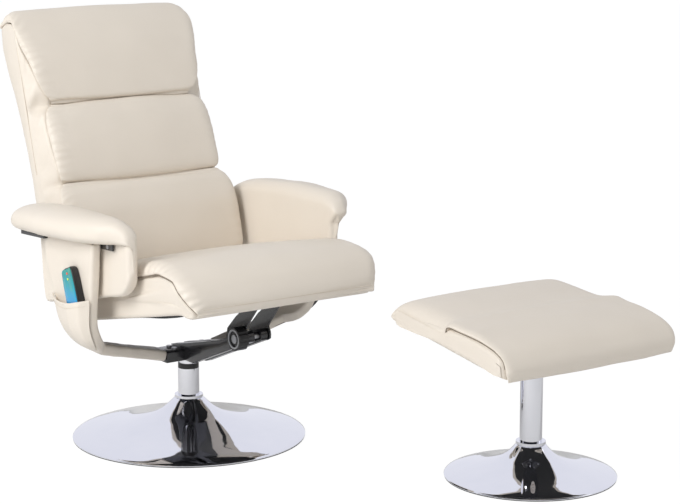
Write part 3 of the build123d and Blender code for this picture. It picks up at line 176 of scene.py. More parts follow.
sewingAndShade = {
    "thread": ((0.74, 0.66, 0.56), (0.62, 0.54, 0.44)),
    "twist": 0.9,
    # dark brown painted shade for the gaps along seams
    "shade": ((0.30, 0.25, 0.20), (0.22, 0.18, 0.14)),
    "shadeGrain": 2.5,
}


def seamThread():
    board = Board("seamThread")
    twist = board.noise(sewingAndShade["twist"])
    return board.finish(board.mixed(twist, *sewingAndShade["thread"]), 0.6, board.bump(twist, 0.15, 0.5))


# painted shade: dark brown strips laid in the gaps and slits along seams
def paintedSeamShade():
    board = Board("seamShade")
    grain = board.noise(sewingAndShade["shadeGrain"])
    return board.finish(board.mixed(grain, *sewingAndShade["shade"]), 0.8)


chrome = {
    "tones": ((0.84, 0.84, 0.88), (0.78, 0.79, 0.84)),
    "haze": 60,
    "smear": 9,
    "gloss": 0.02,
    "smearGloss": 0.03,
}


def chromePlate():
    board = Board("chromePlate")
    haze = board.noise(chrome["haze"], 3)
    gloss = chrome["gloss"] + board.noise(chrome["smear"], 4) * chrome["smearGloss"]
    return board.finish(board.mixed(haze, *chrome["tones"]), gloss, None, Metallic=1.0)


paint = {
    "tones": ((0.010, 0.010, 0.012), (0.022, 0.022, 0.025)),
    "speck": 1.6,
    "scuff": 22,
    "gloss": 0.2,
    "coat": 0.5,
    "coatGloss": 0.08,
}


def blackPaint():
    board = Board("blackPaint")
    bump = board.bump(board.noise(paint["speck"], 3), 0.04, 0.3)
    scuffs = board.noise(paint["scuff"], 5, None, 0.7)
    tone = board.mixed(scuffs, *paint["tones"])
    gloss = paint["gloss"] + scuffs * 0.1
    return board.finish(tone, gloss, bump, Coat_Weight=paint["coat"], Coat_Roughness=paint["coatGloss"])


zinc = {"tones": ((0.56, 0.56, 0.57), (0.44, 0.44, 0.46)), "drawn": 3, "stretch": (1, 1, 0.12), "gloss": 0.3}


def zincPlate():
    board = Board("zincPlate")
    drawn = board.noise(zinc["drawn"], 4, board.place(zinc["stretch"]))
    tone = board.mixed(drawn, *zinc["tones"])
    return board.finish(tone, zinc["gloss"] + drawn * 0.15, board.bump(drawn, 0.05, 0.3), Metallic=1.0)


plastic = {
    "black": ((0.014, 0.014, 0.015), (0.022, 0.022, 0.023)),
    "blackSpark": 0.8,
    "blackGloss": 0.36,
    "blotch": 30,
    "grey": ((0.40, 0.41, 0.43), (0.30, 0.31, 0.33)),
    "greySpark": 0.7,
    "greyGloss": 0.33,
}


def blackPlastic():
    board = Board("blackPlastic")
    spark = board.noise(plastic["blackSpark"], 3)
    tone = board.mixed(board.noise(plastic["blotch"]), *plastic["black"])
    return board.finish(tone, plastic["blackGloss"] + spark * 0.1, board.bump(spark, 0.06, 0.35))


def greyPlastic():
    board = Board("greyPlastic")
    spark = board.noise(plastic["greySpark"], 3)
    tone = board.mixed(spark, *plastic["grey"])
    return board.finish(tone, plastic["greyGloss"] + spark * 0.08, board.bump(spark, 0.04, 0.3), Metallic=0.5)


# heights are metres above the floor
overlay = {
    "foot": 0.352,
    "rise": 0.11,
    "bands": [
        (0, (0.01, 0.20, 0.62)),
        (0.35, (0.015, 0.33, 0.66)),
        (0.62, (0.02, 0.34, 0.42)),
        (1, (0.03, 0.30, 0.26)),
    ],
    "green": (0.06, 0.42, 0.22),
    "greenShare": 0.35,
    "patch": 16,
    "gloss": 0.16,
    "lampSplit": 0.4408,
    "lamps": ((0.62, 0.80, 0.10), (0.75, 0.10, 0.06)),
    "glow": 0.25,
}


def heightAbove(board):
    return board.make("SeparateXYZ", None, {0: board.make("TexCoord", out=3)}, out=2)


def blueOverlay():
    board = Board("blueOverlay")
    rise = (heightAbove(board) - overlay["foot"]) / overlay["rise"]
    bands = board.make("ValToRGB", {"stops": overlay["bands"]}, {0: rise})
    patch = board.noise(overlay["patch"])
    green = board.make("ValToRGB", {"stops": [(0.5, (0, 0, 0)), (0.68, (1, 1, 1))]}, {0: patch})
    tone = board.mixed(green * overlay["greenShare"], bands, overlay["green"])
    waves = board.bump(board.noise(5), 0.04, 0.2)
    return board.finish(tone, overlay["gloss"] + patch * 0.06, waves, Coat_Weight=0.4)


def lensDrops():
    board = Board("lensDrops")
    upper = board.sum("GREATER_THAN", heightAbove(board), overlay["lampSplit"])
    tone = board.mixed(upper, *overlay["lamps"])
    glow = board.mixed(board.noise(2, 1), (0.9, 0.9, 0.9), (1, 1, 1))
    settings = {"data_type": "RGBA", "blend_type": "MULTIPLY"}
    tone = board.make("Mix", settings, {0: 1.0, 6: tone, 7: glow}, out=2)
    return board.finish(tone, 0.12, None, Emission_Color=tone, Emission_Strength=overlay["glow"])


iron = {"tones": ((0.06, 0.06, 0.062), (0.12, 0.115, 0.11)), "sand": 2.4, "gloss": 0.62, "metal": 0.6}


def castIron():
    board = Board("castIron")
    sand = board.noise(iron["sand"], 5, None, 0.65)
    tone = board.mixed(sand, *iron["tones"])
    return board.finish(tone, iron["gloss"] + sand * 0.15, board.bump(sand, 0.3, 0.5), Metallic=iron["metal"])


rubber = {"tones": ((0.02, 0.02, 0.02), (0.04, 0.04, 0.04)), "sand": 1.5, "gloss": 0.8}


def padRubber():
    board = Board("padRubber")
    sand = board.noise(rubber["sand"], 4)
    return board.finish(board.mixed(sand, *rubber["tones"]), rubber["gloss"], board.bump(sand, 0.15, 0.5))


ply = {
    "tones": ((0.66, 0.50, 0.34), (0.48, 0.34, 0.21)),
    "rings": 60,
    "ringStretch": (0.05, 1, 1),
    "fibre": 2,
    "fibreStretch": (0.06, 1, 1),
    "gloss": 0.6,
}


def beechPly():
    board = Board("beechPly")
    sockets = {"Vector": board.place(ply["ringStretch"]), "Scale": ply["rings"]}
    sockets.update({"Distortion": 5.0, "Detail": 3.0})
    rings = board.make("TexWave", {"bands_direction": "Z"}, sockets)
    fibre = board.noise(ply["fibre"], 5, board.place(ply["fibreStretch"]))
    tone = board.mixed(rings * 0.6 + fibre * 0.4, *ply["tones"])
    return board.finish(tone, ply["gloss"] + fibre * 0.1, board.bump(fibre, 0.1, 0.4))


cloth = {"tones": ((0.012, 0.012, 0.012), (0.03, 0.03, 0.032)), "fibre": 1.4, "dimple": 2.5, "gloss": 0.9}


def dustCloth():
    board = Board("dustCloth")
    fibre = board.noise(cloth["fibre"], 5, None, 0.7)
    bump = board.bump(board.cells(cloth["dimple"]) + fibre, 0.2, 0.6)
    return board.finish(board.mixed(fibre, *cloth["tones"]), cloth["gloss"], bump)


padding = {"tones": ((0.78, 0.70, 0.42), (0.66, 0.57, 0.30)), "bubble": 1.8, "gloss": 0.9}


def paddingFoam():
    board = Board("paddingFoam")
    bubbles = board.cells(padding["bubble"])
    tone = board.mixed(bubbles, *padding["tones"])
    return board.finish(tone, padding["gloss"], board.bump(bubbles, 0.5, 0.7))


laminate = {
    "even": (0.04, 0.20, 0.08, 1),
    "odd": (0.03, 0.15, 0.06, 1),
    "track": (0.20, 0.30, 0.08, 1),
    "scale": 120.0,
}


def greenBoard():
    board = Board("greenBoard")
    sockets = {"Vector": board.place(), "Scale": laminate["scale"]}
    sockets.update({"Color1": laminate["even"], "Color2": laminate["odd"], "Mortar": laminate["track"]})
    tracks = board.make("TexBrick", None, sockets)
    return board.finish(tracks, 0.4 + board.noise(4) * 0.1)


finishes = {
    "cream_leather": creamLeather(),
    "chrome": chromePlate(),
    "black_steel": blackPaint(),
    "plain_steel": zincPlate(),
    "black_plastic": blackPlastic(),
    "grey_plastic": greyPlastic(),
    "blue_face": blueOverlay(),
    "led_lens": lensDrops(),
    "ballast_iron": castIron(),
    "floor_rubber": padRubber(),
    "plywood": beechPly(),
    "black_cloth": dustCloth(),
    "foam": paddingFoam(),
    "circuit_board": greenBoard(),
}
thread, shade = seamThread(), paintedSeamShade()
creaseAngle = 32
slotOf = {row["node"]: row["material_slot"] for row in frame["record"]["subparts"]}
for name, piece in nodes.items():
    piece.data.materials.clear()
    piece.data.materials.append(finishes[slotOf[name]])
    piece.data.set_sharp_from_angle(angle=math.radians(creaseAngle))
print("finishes made,", len(finishes))


# smooth repeatable noise between -1 and 1 for points in an array
def softNoise(points, size, seed=0.0):
    spot = np.asarray(points, float) / size + 13.7 * seed + 100
    cell = np.floor(spot)
    part = spot - cell
    part = part * part * (3 - 2 * part)
    total = 0
    for dx in (0, 1):
        for dy in (0, 1):
            for dz in (0, 1):
                step = np.array((dx, dy, dz))
                corner = cell + step
                value = np.sin(corner @ np.array((12.9898, 78.233, 37.719))) * 43758.5453
                value = value - np.floor(value)
                near = np.abs(1 - step - part)
                total = total + near[..., 0] * near[..., 1] * near[..., 2] * value
    return 2 * total - 1


def noiseLine(along, size, seed=0.0):
    along = np.asarray(along, float)
    return softNoise(np.stack([along, along * 0 + 7.3, along * 0 + 2.1], -1), size, seed)


def lengthAlong(line):
    return np.concatenate([[0], np.cumsum(np.linalg.norm(np.diff(line, axis=0), axis=1))])


# evenly spaced points on a smooth line through the given ones, any number of columns
def evenLine(points, count, loop=False):
    keys = np.array(points, float)
    if loop:
        keys = np.vstack([keys[-1:], keys, keys[:2]])
    else:
        keys = np.vstack([2 * keys[:1] - keys[1:2], keys, 2 * keys[-1:] - keys[-2:-1]])
    fine = []
    for i in range(1, len(keys) - 2):
        a, b, c, d = keys[i - 1 : i + 3]
        for t in np.linspace(0, 1, 24, endpoint=False):
            curve = 2 * b + (c - a) * t + (2 * a - 5 * b + 4 * c - d) * t * t + (3 * b - a - 3 * c + d) * t**3
            fine.append(0.5 * curve)
    fine.append(keys[-2])
    fine = np.array(fine)
    along = lengthAlong(fine[:, :2])
    wanted = np.linspace(0, along[-1], count + 1 if loop else count)
    if loop:
        wanted = wanted[:-1]
    return np.stack([np.interp(wanted, along, fine[:, k]) for k in range(fine.shape[1])], -1)


def ringNormals(rings):
    acrossRing = np.roll(rings, -1, axis=1) - np.roll(rings, 1, axis=1)
    alongPiece = np.gradient(rings, axis=0)
    normal = np.cross(alongPiece, acrossRing)
    size = np.linalg.norm(normal, axis=-1, keepdims=True)
    normal = normal / np.maximum(size, 1e-9)
    outward = rings - rings.mean(axis=1, keepdims=True)
    if (normal * outward).sum() < 0:
        normal = -normal
    return normal


def pieceFrom(name, points, faces, sharp=50, level=0):
    mesh = bpy.data.meshes.new(name)
    mesh.from_pydata([tuple(p) for p in np.asarray(points, float) * mm], [], faces)
    mesh.update()
    piece = bpy.data.objects.new(name, mesh)
    bpy.context.scene.collection.objects.link(piece)
    bpy.context.view_layer.objects.active = piece
    piece.select_set(True)
    bpy.ops.object.mode_set(mode="EDIT")
    bpy.ops.mesh.select_all(action="SELECT")
    bpy.ops.mesh.normals_make_consistent(inside=False)
    bpy.ops.object.mode_set(mode="OBJECT")
    piece.select_set(False)
    mesh.shade_smooth()
    mesh.set_sharp_from_angle(angle=math.radians(sharp))
    if level:
        smooth = piece.modifiers.new("smooth", "SUBSURF")
        smooth.levels = smooth.render_levels = level
    return piece


# faces between rings of points; the last ring joins the first one if asked
def gridFaces(rows, columns, joined=False):
    faces = []
    for r in range(rows if joined else rows - 1):
        for c in range(columns):
            n, m = (c + 1) % columns, (r + 1) % rows
            faces.append((r * columns + c, r * columns + n, m * columns + n, m * columns + c))
    return faces


# closed skin over rings of points; each end shrinks to a middle point
def skin(name, rings, lift=None, sharp=60, level=1):
    rings = np.array(rings, float)
    if lift is not None:
        rings = rings + ringNormals(rings) * np.asarray(lift)[..., None]
    rows, columns = rings.shape[:2]
    points = list(rings.reshape(-1, 3))
    faces = gridFaces(rows, columns)
    for row in (0, rows - 1):
        centre = rings[row].mean(axis=0)
        inner = len(points)
        points.extend(centre + (rings[row] - centre) * 0.5)
        points.append(centre)
        for c in range(columns):
            n = (c + 1) % columns
            faces.append((row * columns + c, row * columns + n, inner + n, inner + c))
            faces.append((inner + c, inner + n, inner + columns))
    return pieceFrom(name, points, faces, sharp, level)


# two directions square to the way of a thing
def squareTo(way):
    guide = np.cross(way, (0.31, 0.22, 0.93))
    guide /= np.linalg.norm(guide, axis=-1, keepdims=True)
    return guide, np.cross(way, guide)


# thin round strip along a line of points
def strip(name, line, radius, sides=6):
    line = np.array(line, float)
    along = np.gradient(line, axis=0)
    along /= np.linalg.norm(along, axis=1, keepdims=True)
    guide, other = squareTo(along)
    turn = np.linspace(0, 2 * math.pi, sides, endpoint=False)[None, :, None]
    circle = guide[:, None, :] * np.cos(turn) + other[:, None, :] * np.sin(turn)
    return skin(name, line[:, None, :] + radius * circle, level=0)


# row of separate thread stitches along a line of points
def stitches(name, line, pitch=5.0, share=0.7, radius=0.45):
    line = np.array(line, float)
    along = lengthAlong(line)
    points, faces = [], []
    turn = np.linspace(0, 2 * math.pi, 6, endpoint=False)
    for start in np.arange(0.5 * pitch, along[-1] - pitch, pitch):
        spots = [start + pitch * share * t for t in (0, 0.2, 0.5, 0.8, 1)]
        ends = [np.array([np.interp(spot, along, line[:, k]) for k in range(3)]) for spot in spots]
        axis = ends[-1] - ends[0]
        axis /= np.linalg.norm(axis)
        guide, other = squareTo(axis)
        base = len(points)
        for end, size in zip(ends, (0.35, 0.9, 1, 0.9, 0.35)):
            points.extend(end + radius * size * (guide * math.cos(a) + other * math.sin(a)) for a in turn)
        for r in range(4):
            for c in range(6):
                n = (c + 1) % 6
                faces.append((base + r * 6 + c, base + r * 6 + n, base + r * 6 + 6 + n, base + r * 6 + 6 + c))
        faces.append(tuple(base + c for c in range(6)))
        faces.append(tuple(base + 24 + c for c in range(6)))
    return pieceFrom(name, points, faces)


def dress(piece, body, slotName, replaced=(), material=None, soft=None):
    piece.data.materials.clear()
    piece.data.materials.append(material or finishes[slotName])
    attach(piece, body)
    if replaced:
        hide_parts(*replaced)


# tilted frames of the back, seat and footstool: their lean, and where their zero lies
tilted = {
    "back": {"lean": 22, "at": (0, 205, 500)},
    "seat": {"lean": 12, "at": (0, 126, 413)},
    "stool": {"lean": 8.4, "at": (449.5, -734.9, 324.1)},
}


def onTilted(name, x, back, rise, ahead, up):
    lean = math.radians(tilted[name]["lean"])
    s, c = math.sin(lean), math.cos(lean)
    atX, atY, atZ = tilted[name]["at"]
    return np.stack([atX + x, atY + back * up * s - ahead * c, atZ + rise * ahead * s + up * c], -1)


def onBack(x, up, ahead):
    return onTilted("back", x, 1, 1, ahead, up)


def onSeat(x, ahead, up):
    return onTilted("seat", x, 1, 1, ahead, up)


def onStool(x, ahead, up):
    return onTilted("stool", x, -1, -1, ahead, up)


hem = {"behind": 16, "down": 3, "crownPower": 2.2}


# cushion cover: table rows are outer line (two places), then the side seam (x and two places)
def cover(table, rows, corner, crownDrop, place, squareness=2.0, cornerSteps=10, flatSteps=26):
    line = evenLine(table, rows)
    outer, seam = line[:, :2], line[:, 2:]
    turn = np.linspace(0, math.pi / 2, cornerSteps + 1)
    power = 2 / squareness
    corner = np.interp(outer[:, 0], *np.array(corner, float).T)[:, None]
    crownDrop = np.interp(outer[:, 0], *np.array(crownDrop, float).T)[:, None]
    side = seam[:, :1] - corner * (1 - np.cos(turn)[None, :] ** power)
    share = np.sin(turn)[None, :] ** power
    flat = np.linspace(1, -1, flatSteps + 1)[1:-1]
    tangent = np.gradient(outer, axis=0)
    tangent /= np.maximum(np.linalg.norm(tangent, axis=1, keepdims=True), 1e-9)
    inward = np.stack([tangent[:, 1], -tangent[:, 0]], -1)
    away = outer - seam[:, 1:]
    inward *= -np.sign((inward * away).sum(axis=1, keepdims=True) + 1e-9)
    edge = outer + inward * crownDrop
    cornerPlace = seam[:, None, 1:] + (edge - seam[:, 1:])[:, None, :] * share[..., None]
    flatX = (seam[:, :1] - corner) * flat[None, :]
    bow = np.abs(flat[None, :, None]) ** hem["crownPower"]
    flatPlace = outer[:, None, :] + inward[:, None, :] * crownDrop[..., None] * bow
    behind = np.array((1, 0, -1))[None, :] * (seam[:, :1] - hem["behind"])
    behindPlace = np.repeat(seam[:, None, 1:] + inward[:, None, :] * hem["down"], 3, axis=1)
    x = np.concatenate([side, flatX, -side[:, ::-1], behind[:, ::-1]], axis=1)
    where = np.concatenate([cornerPlace, flatPlace, cornerPlace[:, ::-1], behindPlace], axis=1)
    rings = place(x, where[..., 0], where[..., 1])
    near = 1 - np.cos(turn)[None, :] ** power + side * 0
    near[:, 0] = 0
    depth = np.concatenate([near, flatX * 0 + 1, near[:, ::-1], behind * 0], axis=1)
    return rings, x, depth


puckers = {
    "broad": 95,
    "fine": 42,
    "fineShare": 0.35,
    "lean": 26,  # how far a fold leans while it runs in
    "leanSize": 60,
    "phase": 3,
    "phaseSize": 50,
    "evenShare": 0.8,
    "looseShare": 0.7,
    "patch": 70,
    "farShare": 0.3,  # the far side is pulled smoother
}


# soft hand-made look: broad swells, and puckers that run in from the side seam
def softLift(rings, x, depth, swell, pucker, pitch, seed):
    broad = softNoise(rings, puckers["broad"], seed) * swell
    broad += softNoise(rings, puckers["fine"], seed + 3) * swell * puckers["fineShare"]
    along = lengthAlong(rings[:, 0])[:, None] + depth * 0
    lean = along + puckers["lean"] * depth * softNoise(rings, puckers["leanSize"], seed + 5)
    phase = puckers["phase"] * softNoise(rings, puckers["phaseSize"], seed + 7)
    folds = puckers["evenShare"] * np.sin(lean * 2 * math.pi / pitch + phase)
    folds += puckers["looseShare"] * noiseLine(lean, pitch * 0.7, seed + 8)
    patch = np.clip(0.65 + 0.7 * softNoise(rings, puckers["patch"], seed + 9), 0.1, 1.3)
    strength = np.clip(1 - depth, 0, 1) * np.clip(depth * 40, 0, 1) * patch
    strength *= np.where(x < 0, 1, puckers["farShare"])
    return np.where(depth > 0, broad * np.clip(depth * 9, 0, 1) + pucker * folds * strength, 0)


print("building the back")

backRows = {
    "lumbar": [
        (-100, -4, 236, -98, -3), (-108, 24, 238, -104, 20), (-110, 42, 239, -103, 36),
        (-99, 50, 241, -92, 45), (-50, 62, 242, -50, 50), (15, 73, 242, 10, 54), (60, 68, 238, 50, 54),
        (82, 59, 230, 78, 47), (91, 50, 220, 92, 43), (93.6, 40, 213, 98, 35), (93.8, 24, 206, 100, 24),
    ],
    "mid": [
        (95, 22, 206, 101, 22), (95.4, 38, 214, 104, 34), (101, 50, 220, 112, 42), (120, 57, 223, 130, 43),
        (160, 60, 224, 163, 40.6), (205, 61, 225, 205, 37.5), (250, 56, 224, 245, 35),
        (280, 46, 217, 274, 33), (293, 38, 206, 287, 28), (299.6, 29, 194, 296, 22),
        (300.6, 10, 188, 299, 10),
    ],
    "head": [
        (301.6, 8, 188, 300, 8), (301.8, 24, 191, 301, 21), (304.5, 37, 200, 312, 30),
        (318, 42.5, 214, 330, 36), (360, 47, 226, 365, 34), (405, 48, 232, 402, 28),
        (450, 43, 243, 448, 20), (490, 31, 247, 484, 18), (520, 16, 246, 502, 12), (540, 2, 244, 513, 0),
        (551, -14, 242, 519, -18), (553, -28, 241, 522, -32), (548, -48, 240, 523, -48),
        (538, -65, 239, 523, -62), (524, -77, 236, 522, -74),
    ],
    "corner": [(-110, 44), (560, 44)],
    "crownDrop": [(-110, 4), (560, 4)],
    "squareness": 2.7,
    "lift": (1.7, 1.7, 19),  # swell, pucker and pitch
    "bands": {"lumbar": (104, 1.0), "mid": (116, 2.0), "head": (180, 3.0)},  # rows and seed
    "soft": 0.7,
    "spread": 2,
    "shellSide": 246,
    "shellUps": (-93, 500, 66),
    "shellTop": (507, 513, 517, 520, 521.5),
    "topDraw": (470, 52, 6),
    "gather": (4.6, 2.4),  # folds where the side cloth is drawn in
    "gatherSize": (34, 13),
    "seamSink": 1.2,
    "rearSwell": 1.4,
    "gusset": [
        (-93, 238, 40), (-80, 240, 44), (-50, 241, 48), (10, 241, 52), (50, 237, 51), (78, 229, 44),
        (92, 219, 39), (99, 208, 27), (104, 212, 31), (112, 218, 39), (130, 222, 41), (163, 223, 38.6),
        (205, 224, 35.5), (245, 223, 33), (274, 216, 31), (287, 205, 25), (298, 189, 14), (305, 193, 21),
        (312, 199, 28), (330, 213, 34), (365, 225, 32), (402, 231, 26), (448, 242, 18), (484, 246, 16),
        (502, 245, 10), (513, 243, -2), (519, 241, -20), (522, 239, -40),
    ],
    "rearSeam": [(-93, -28), (140, -26), (201, -20), (370, -2), (450, 6), (522, 10)],
    "rear": [
        (-93.7, -9), (-60, -34), (10, -81), (50, -78.5), (89, -76), (137, -68), (211, -65), (288, -67),
        (352, -72), (405, -81), (470, -85), (505, -84), (515, -82.5), (521, -78),
    ],
    "rearCorner": 13,
}


def backBand(name, rows, seed):
    spread = backRows["spread"]
    table = [(up, out, side + spread, sideUp, sideOut) for up, out, side, sideUp, sideOut in backRows[name]]
    corner, crownDrop, squareness = backRows["corner"], backRows["crownDrop"], backRows["squareness"]
    rings, x, depth = cover(table, rows, corner, crownDrop, onBack, squareness)
    band = skin(name + "Cushion", rings, softLift(rings, x, depth, *backRows["lift"], seed))
    dress(band, "backrest", "cream_leather", [name + "_cushion"], soft=backRows["soft"])


for name, (rows, seed) in backRows["bands"].items():
    backBand(name, rows, seed)


# one cross section of the shell: side cloth, rounded rear edge, rear, and the other side
def shellRing(up, share, bow):
    gusset, rear = np.array(backRows["gusset"], float), np.array(backRows["rear"], float)
    sideX = np.interp(up, gusset[:, 0], gusset[:, 1])
    sideV = np.interp(up, gusset[:, 0], gusset[:, 2]) - 2
    rearV = np.interp(up, rear[:, 0], rear[:, 1])
    start, run, draw = backRows["topDraw"]
    midX = backRows["shellSide"] - draw * max(0, (up - start) / run)
    midV = min(np.interp(up, *np.array(backRows["rearSeam"]).T), sideV - 6)
    midV = max(midV, rearV + 4)
    gx = sideX + (midX - sideX) * share + bow * 2.0
    gv = sideV + (midV - sideV) * share
    turn = np.linspace(0, math.pi / 2, 9)
    reach = backRows["rearCorner"]
    cx = midX - reach * (1 - np.cos(turn))
    cv = midV + (rearV - midV) * np.sin(turn)
    flat = np.linspace(1, -1, 20)[1:-1]
    fx = (midX - reach) * flat
    fv = rearV - 3 * (1 - flat**2)
    x = np.concatenate([gx, cx[1:], fx, -cx[:0:-1], -gx[::-1], [-sideX + 14, 0, sideX - 14]])
    v = np.concatenate([gv, cv[1:], fv, cv[:0:-1], gv[::-1], [sideV - 8, sideV - 8, sideV - 8]])
    return onBack(x, x * 0 + up, v)


def backShell():
    ups = np.concatenate([np.linspace(*backRows["shellUps"]), np.array(backRows["shellTop"])])
    share = np.linspace(0, 1, 9)
    bow = np.sin(share * math.pi)
    rings, lifts = [], []
    for up in ups:
        ring = shellRing(up, share, bow)
        rings.append(ring)
        count = len(ring)
        lift = np.zeros(count)
        (deep, shallow), (wide, narrow) = backRows["gather"], backRows["gatherSize"]
        fold = softNoise(np.stack([up + 30 * share, share * 60, share * 0 + 5], -1), wide, 4.0)
        fine = softNoise(np.stack([up * 1.0 + 50 * share, share * 20, share * 0 + 9], -1), narrow, 6.0)
        gather = (fold * deep + fine * shallow) * bow
        lift[:9] = gather
        lift[count - 12 : count - 3] = gather[::-1]
        lift[8] = lift[count - 12] = -backRows["seamSink"]
        lift[17 : count - 21] += backRows["rearSwell"] * softNoise(ring[17 : count - 21], 110, 8.0)
        lifts.append(lift)
    return skin("backShell", rings, np.array(lifts))


dress(backShell(), "backrest", "cream_leather", ["back_shell"])


print("building the seat")

seatRows = {
    "cushion": [
        (-38, -29, 250, -38, -29), (-39, -16, 254, -38, -24), (-33, -5, 257, -36, -25),
        (-14, -1, 258, -14, -27), (40, 3, 258, 40, -28.5), (200, 11, 258, 200, -29.5),
        (332, 11, 258, 332, -29.5), (406, 8, 258, 400, -27), (440, 3, 258, 425, -26),
        (470, -7, 258, 450, -31), (497, -19, 258, 478, -38), (522, -38, 257, 500, -48),
        (540, -60, 256, 511, -70), (549, -84, 255, 520, -88), (551, -104, 254, 530, -107),
        (547, -119, 253, 538, -119), (541, -129, 252, 540, -127), (532, -132, 250, 533, -130),
        (526, -127, 248, 526, -126),
    ],
    "corner": [(-40, 30), (420, 32), (500, 36), (560, 40)],
    "crownDrop": [(-40, 7), (560, 7)],
    "box": [
        (-38, -60), (-38, -33), (-20, -30.3), (200, -30.3), (440, -30.3), (470, -35), (492, -46),
        (507, -66), (514, -90), (526, -118), (521, -131), (510, -133), (488, -126), (470, -121),
        (300, -121), (100, -121), (-30, -121), (-38, -112),
    ],
    "boxHalf": 255,
    "boxRound": 9,
    "rows": 190,
    "lift": (2.0, 2.2, 22),
    "soft": 0.7,
}


# rounded slab between two side faces whose outline is a loop of places
def roundedSlab(name, rows, place, seed, count=110, across=14, swell=0.8):
    half, radius = rows["boxHalf"], rows["boxRound"]
    line = evenLine(rows["box"], count, True)
    tangent = np.roll(line, -1, axis=0) - np.roll(line, 1, axis=0)
    tangent /= np.linalg.norm(tangent, axis=1, keepdims=True)
    inward = np.stack([-tangent[:, 1], tangent[:, 0]], -1)
    middle = line.mean(axis=0)
    if ((middle - line) * inward).sum() < 0:
        inward = -inward
    turn = np.linspace(0, math.pi / 2, 6)
    edge = [(half - radius + radius * math.sin(a), radius * (1 - math.cos(a))) for a in turn[::-1]]
    inner = [(half, radius + k) for k in (22, 10, 4)]
    flat = [((half - radius) * t, 0) for t in np.linspace(1, -1, across)[1:-1]]
    stations = inner + edge + flat + [(-x, inset) for x, inset in edge[::-1] + inner[::-1]]
    rings = []
    for x, inset in stations:
        spot = line + inward * inset
        rings.append(place(spot[:, 0] * 0 + x, spot[:, 0], spot[:, 1]))
    rings = np.array(rings)
    lift = softNoise(rings, 80, seed) * swell
    return skin(name, rings, lift)


# the lower front of the seat is drawn in at both ends
def onNose(x, forward, up):
    low, ahead = np.clip((-up - 52) / 70, 0, 1), np.clip((forward - 452) / 60, 0, 1)
    full = np.clip((forward - 380) / 90, 0, 1) * np.sin(np.clip(-up / 118, 0, 1) * math.pi)
    return onSeat(x * (1 + 0.034 * full - 0.06 * (low * ahead) ** 1.6), forward, up)


def rowCover(name, rows, place, squareness, seed, body, node):
    corner, crownDrop = rows["corner"], rows["crownDrop"]
    rings, x, depth = cover(rows["cushion"], rows["rows"], corner, crownDrop, place, squareness)
    piece = skin(name, rings, softLift(rings, x, depth, *rows["lift"], seed))
    dress(piece, body, "cream_leather", [node], soft=rows["soft"])


rowCover("seatCushion", seatRows, onNose, 2.0, 11.0, "seat", "seat_cushion")
seatBox = roundedSlab("seatBox", seatRows, onNose, 12.0)
dress(seatBox, "seat", "cream_leather", ["seat_box"])


print("building the footstool")

stoolRows = {
    "cushion": [
        (-203, 18, 245, -199, 9), (-208, 27, 246, -202, 7), (-204, 42, 246.6, -197, 4),
        (-178, 54, 247, -174, 3), (-120, 61, 247, -120, 3), (-60, 64, 247, -60, 4), (-26, 66, 247, -26, 10),
        (-14, 67, 247, -15, 26), (-6, 68.3, 247.2, -9, 42), (4, 69.5, 248, -2, 54),
        (40, 70, 246.5, 40, 56.5), (70, 72, 246.5, 70, 58), (110, 71, 246.5, 107, 59),
        (150, 67, 246.5, 148, 56), (178, 59, 246.5, 172, 50), (198, 45, 246, 186, 42),
        (210, 28, 245, 193, 28), (211, 12, 244, 197, 13), (207, -2, 243, 200, 0), (201, -6, 242, 198, -5),
        (195, -3, 241, 195, -2),
    ],
    "corner": [(-205, 64), (-40, 64), (-18, 52), (6, 22), (215, 24)],
    "crownDrop": [(-205, 3), (-20, 4), (10, 3), (215, 3)],
    "box": [
        (-193, 0), (-203, 6), (-205, 14), (-202, 22), (-194, 27.5), (-172, 30), (-120, 34), (-60, 40),
        (-22, 44), (0, 50), (40, 56), (106, 57), (146, 53), (170, 46), (184, 34), (189, 18), (191, 4),
        (186, 0), (100, 0), (0, 0), (-100, 0),
    ],
    "boxHalf": 246.8,
    "boxRound": 14,
    "rows": 72,
    "lift": (1.6, 1.0, 16),
    "soft": 0.7,
}


def onPad(x, forward, up):
    low, ahead = np.clip((20 - up) / 24, 0, 1), np.clip((forward - 180) / 24, 0, 1)
    return onStool(x * (1 - 0.035 * (low * ahead) ** 1.3), forward, up)


# the board cover is smaller at the rear, where the cushion cover is wrapped round it
def onPadBase(x, forward, up):
    rear = np.clip((-forward + 2) / 24, 0, 1)
    return onPad(x * (1 - 0.004 * rear), forward, up)


rowCover("stoolCushion", stoolRows, onPad, 2.5, 21.0, "footstool", "stool_cushion")
stoolBox = roundedSlab("stoolBox", stoolRows, onPadBase, 22.0)
dress(stoolBox, "footstool", "cream_leather", ["stool_box"])


print("building the arms")

rest = {
    "y": (-240, -236, -226, -215, -200, -170, -100, 0, 98, 166, 205, 222, 229, 231.5),
    "height": (12, 24, 38, 46, 53, 60, 64, 68, 66, 60, 51, 42, 33, 20),
    "outer": (298, 305, 312, 321, 332, 352, 373, 382, 381, 374, 358, 343, 331, 316),
    "inner": 269,
    "crest": 305,
    "level": 516,
    "tilt": 2.58,
    "flapThick": 28,
    "flapFront": -238,
    "flapRear": 170,
    "flapCorner": 52,
    "farBack": 20,
    "farRear": 32,
    "farIn": 5,
    "swell": (85, 1.6),  # size and depth, as in the next two
    "ripple": (30, 0.7),
    "frontFolds": (11, 1.5),
    "flapLow": (391, -103, 12),  # a height, its place along, and the slope in degrees
    "flapEnd": 12,
    "soft": 0.8,
}


def restBottom(y):
    return rest["level"] + (150 - y) * math.tan(math.radians(rest["tilt"]))


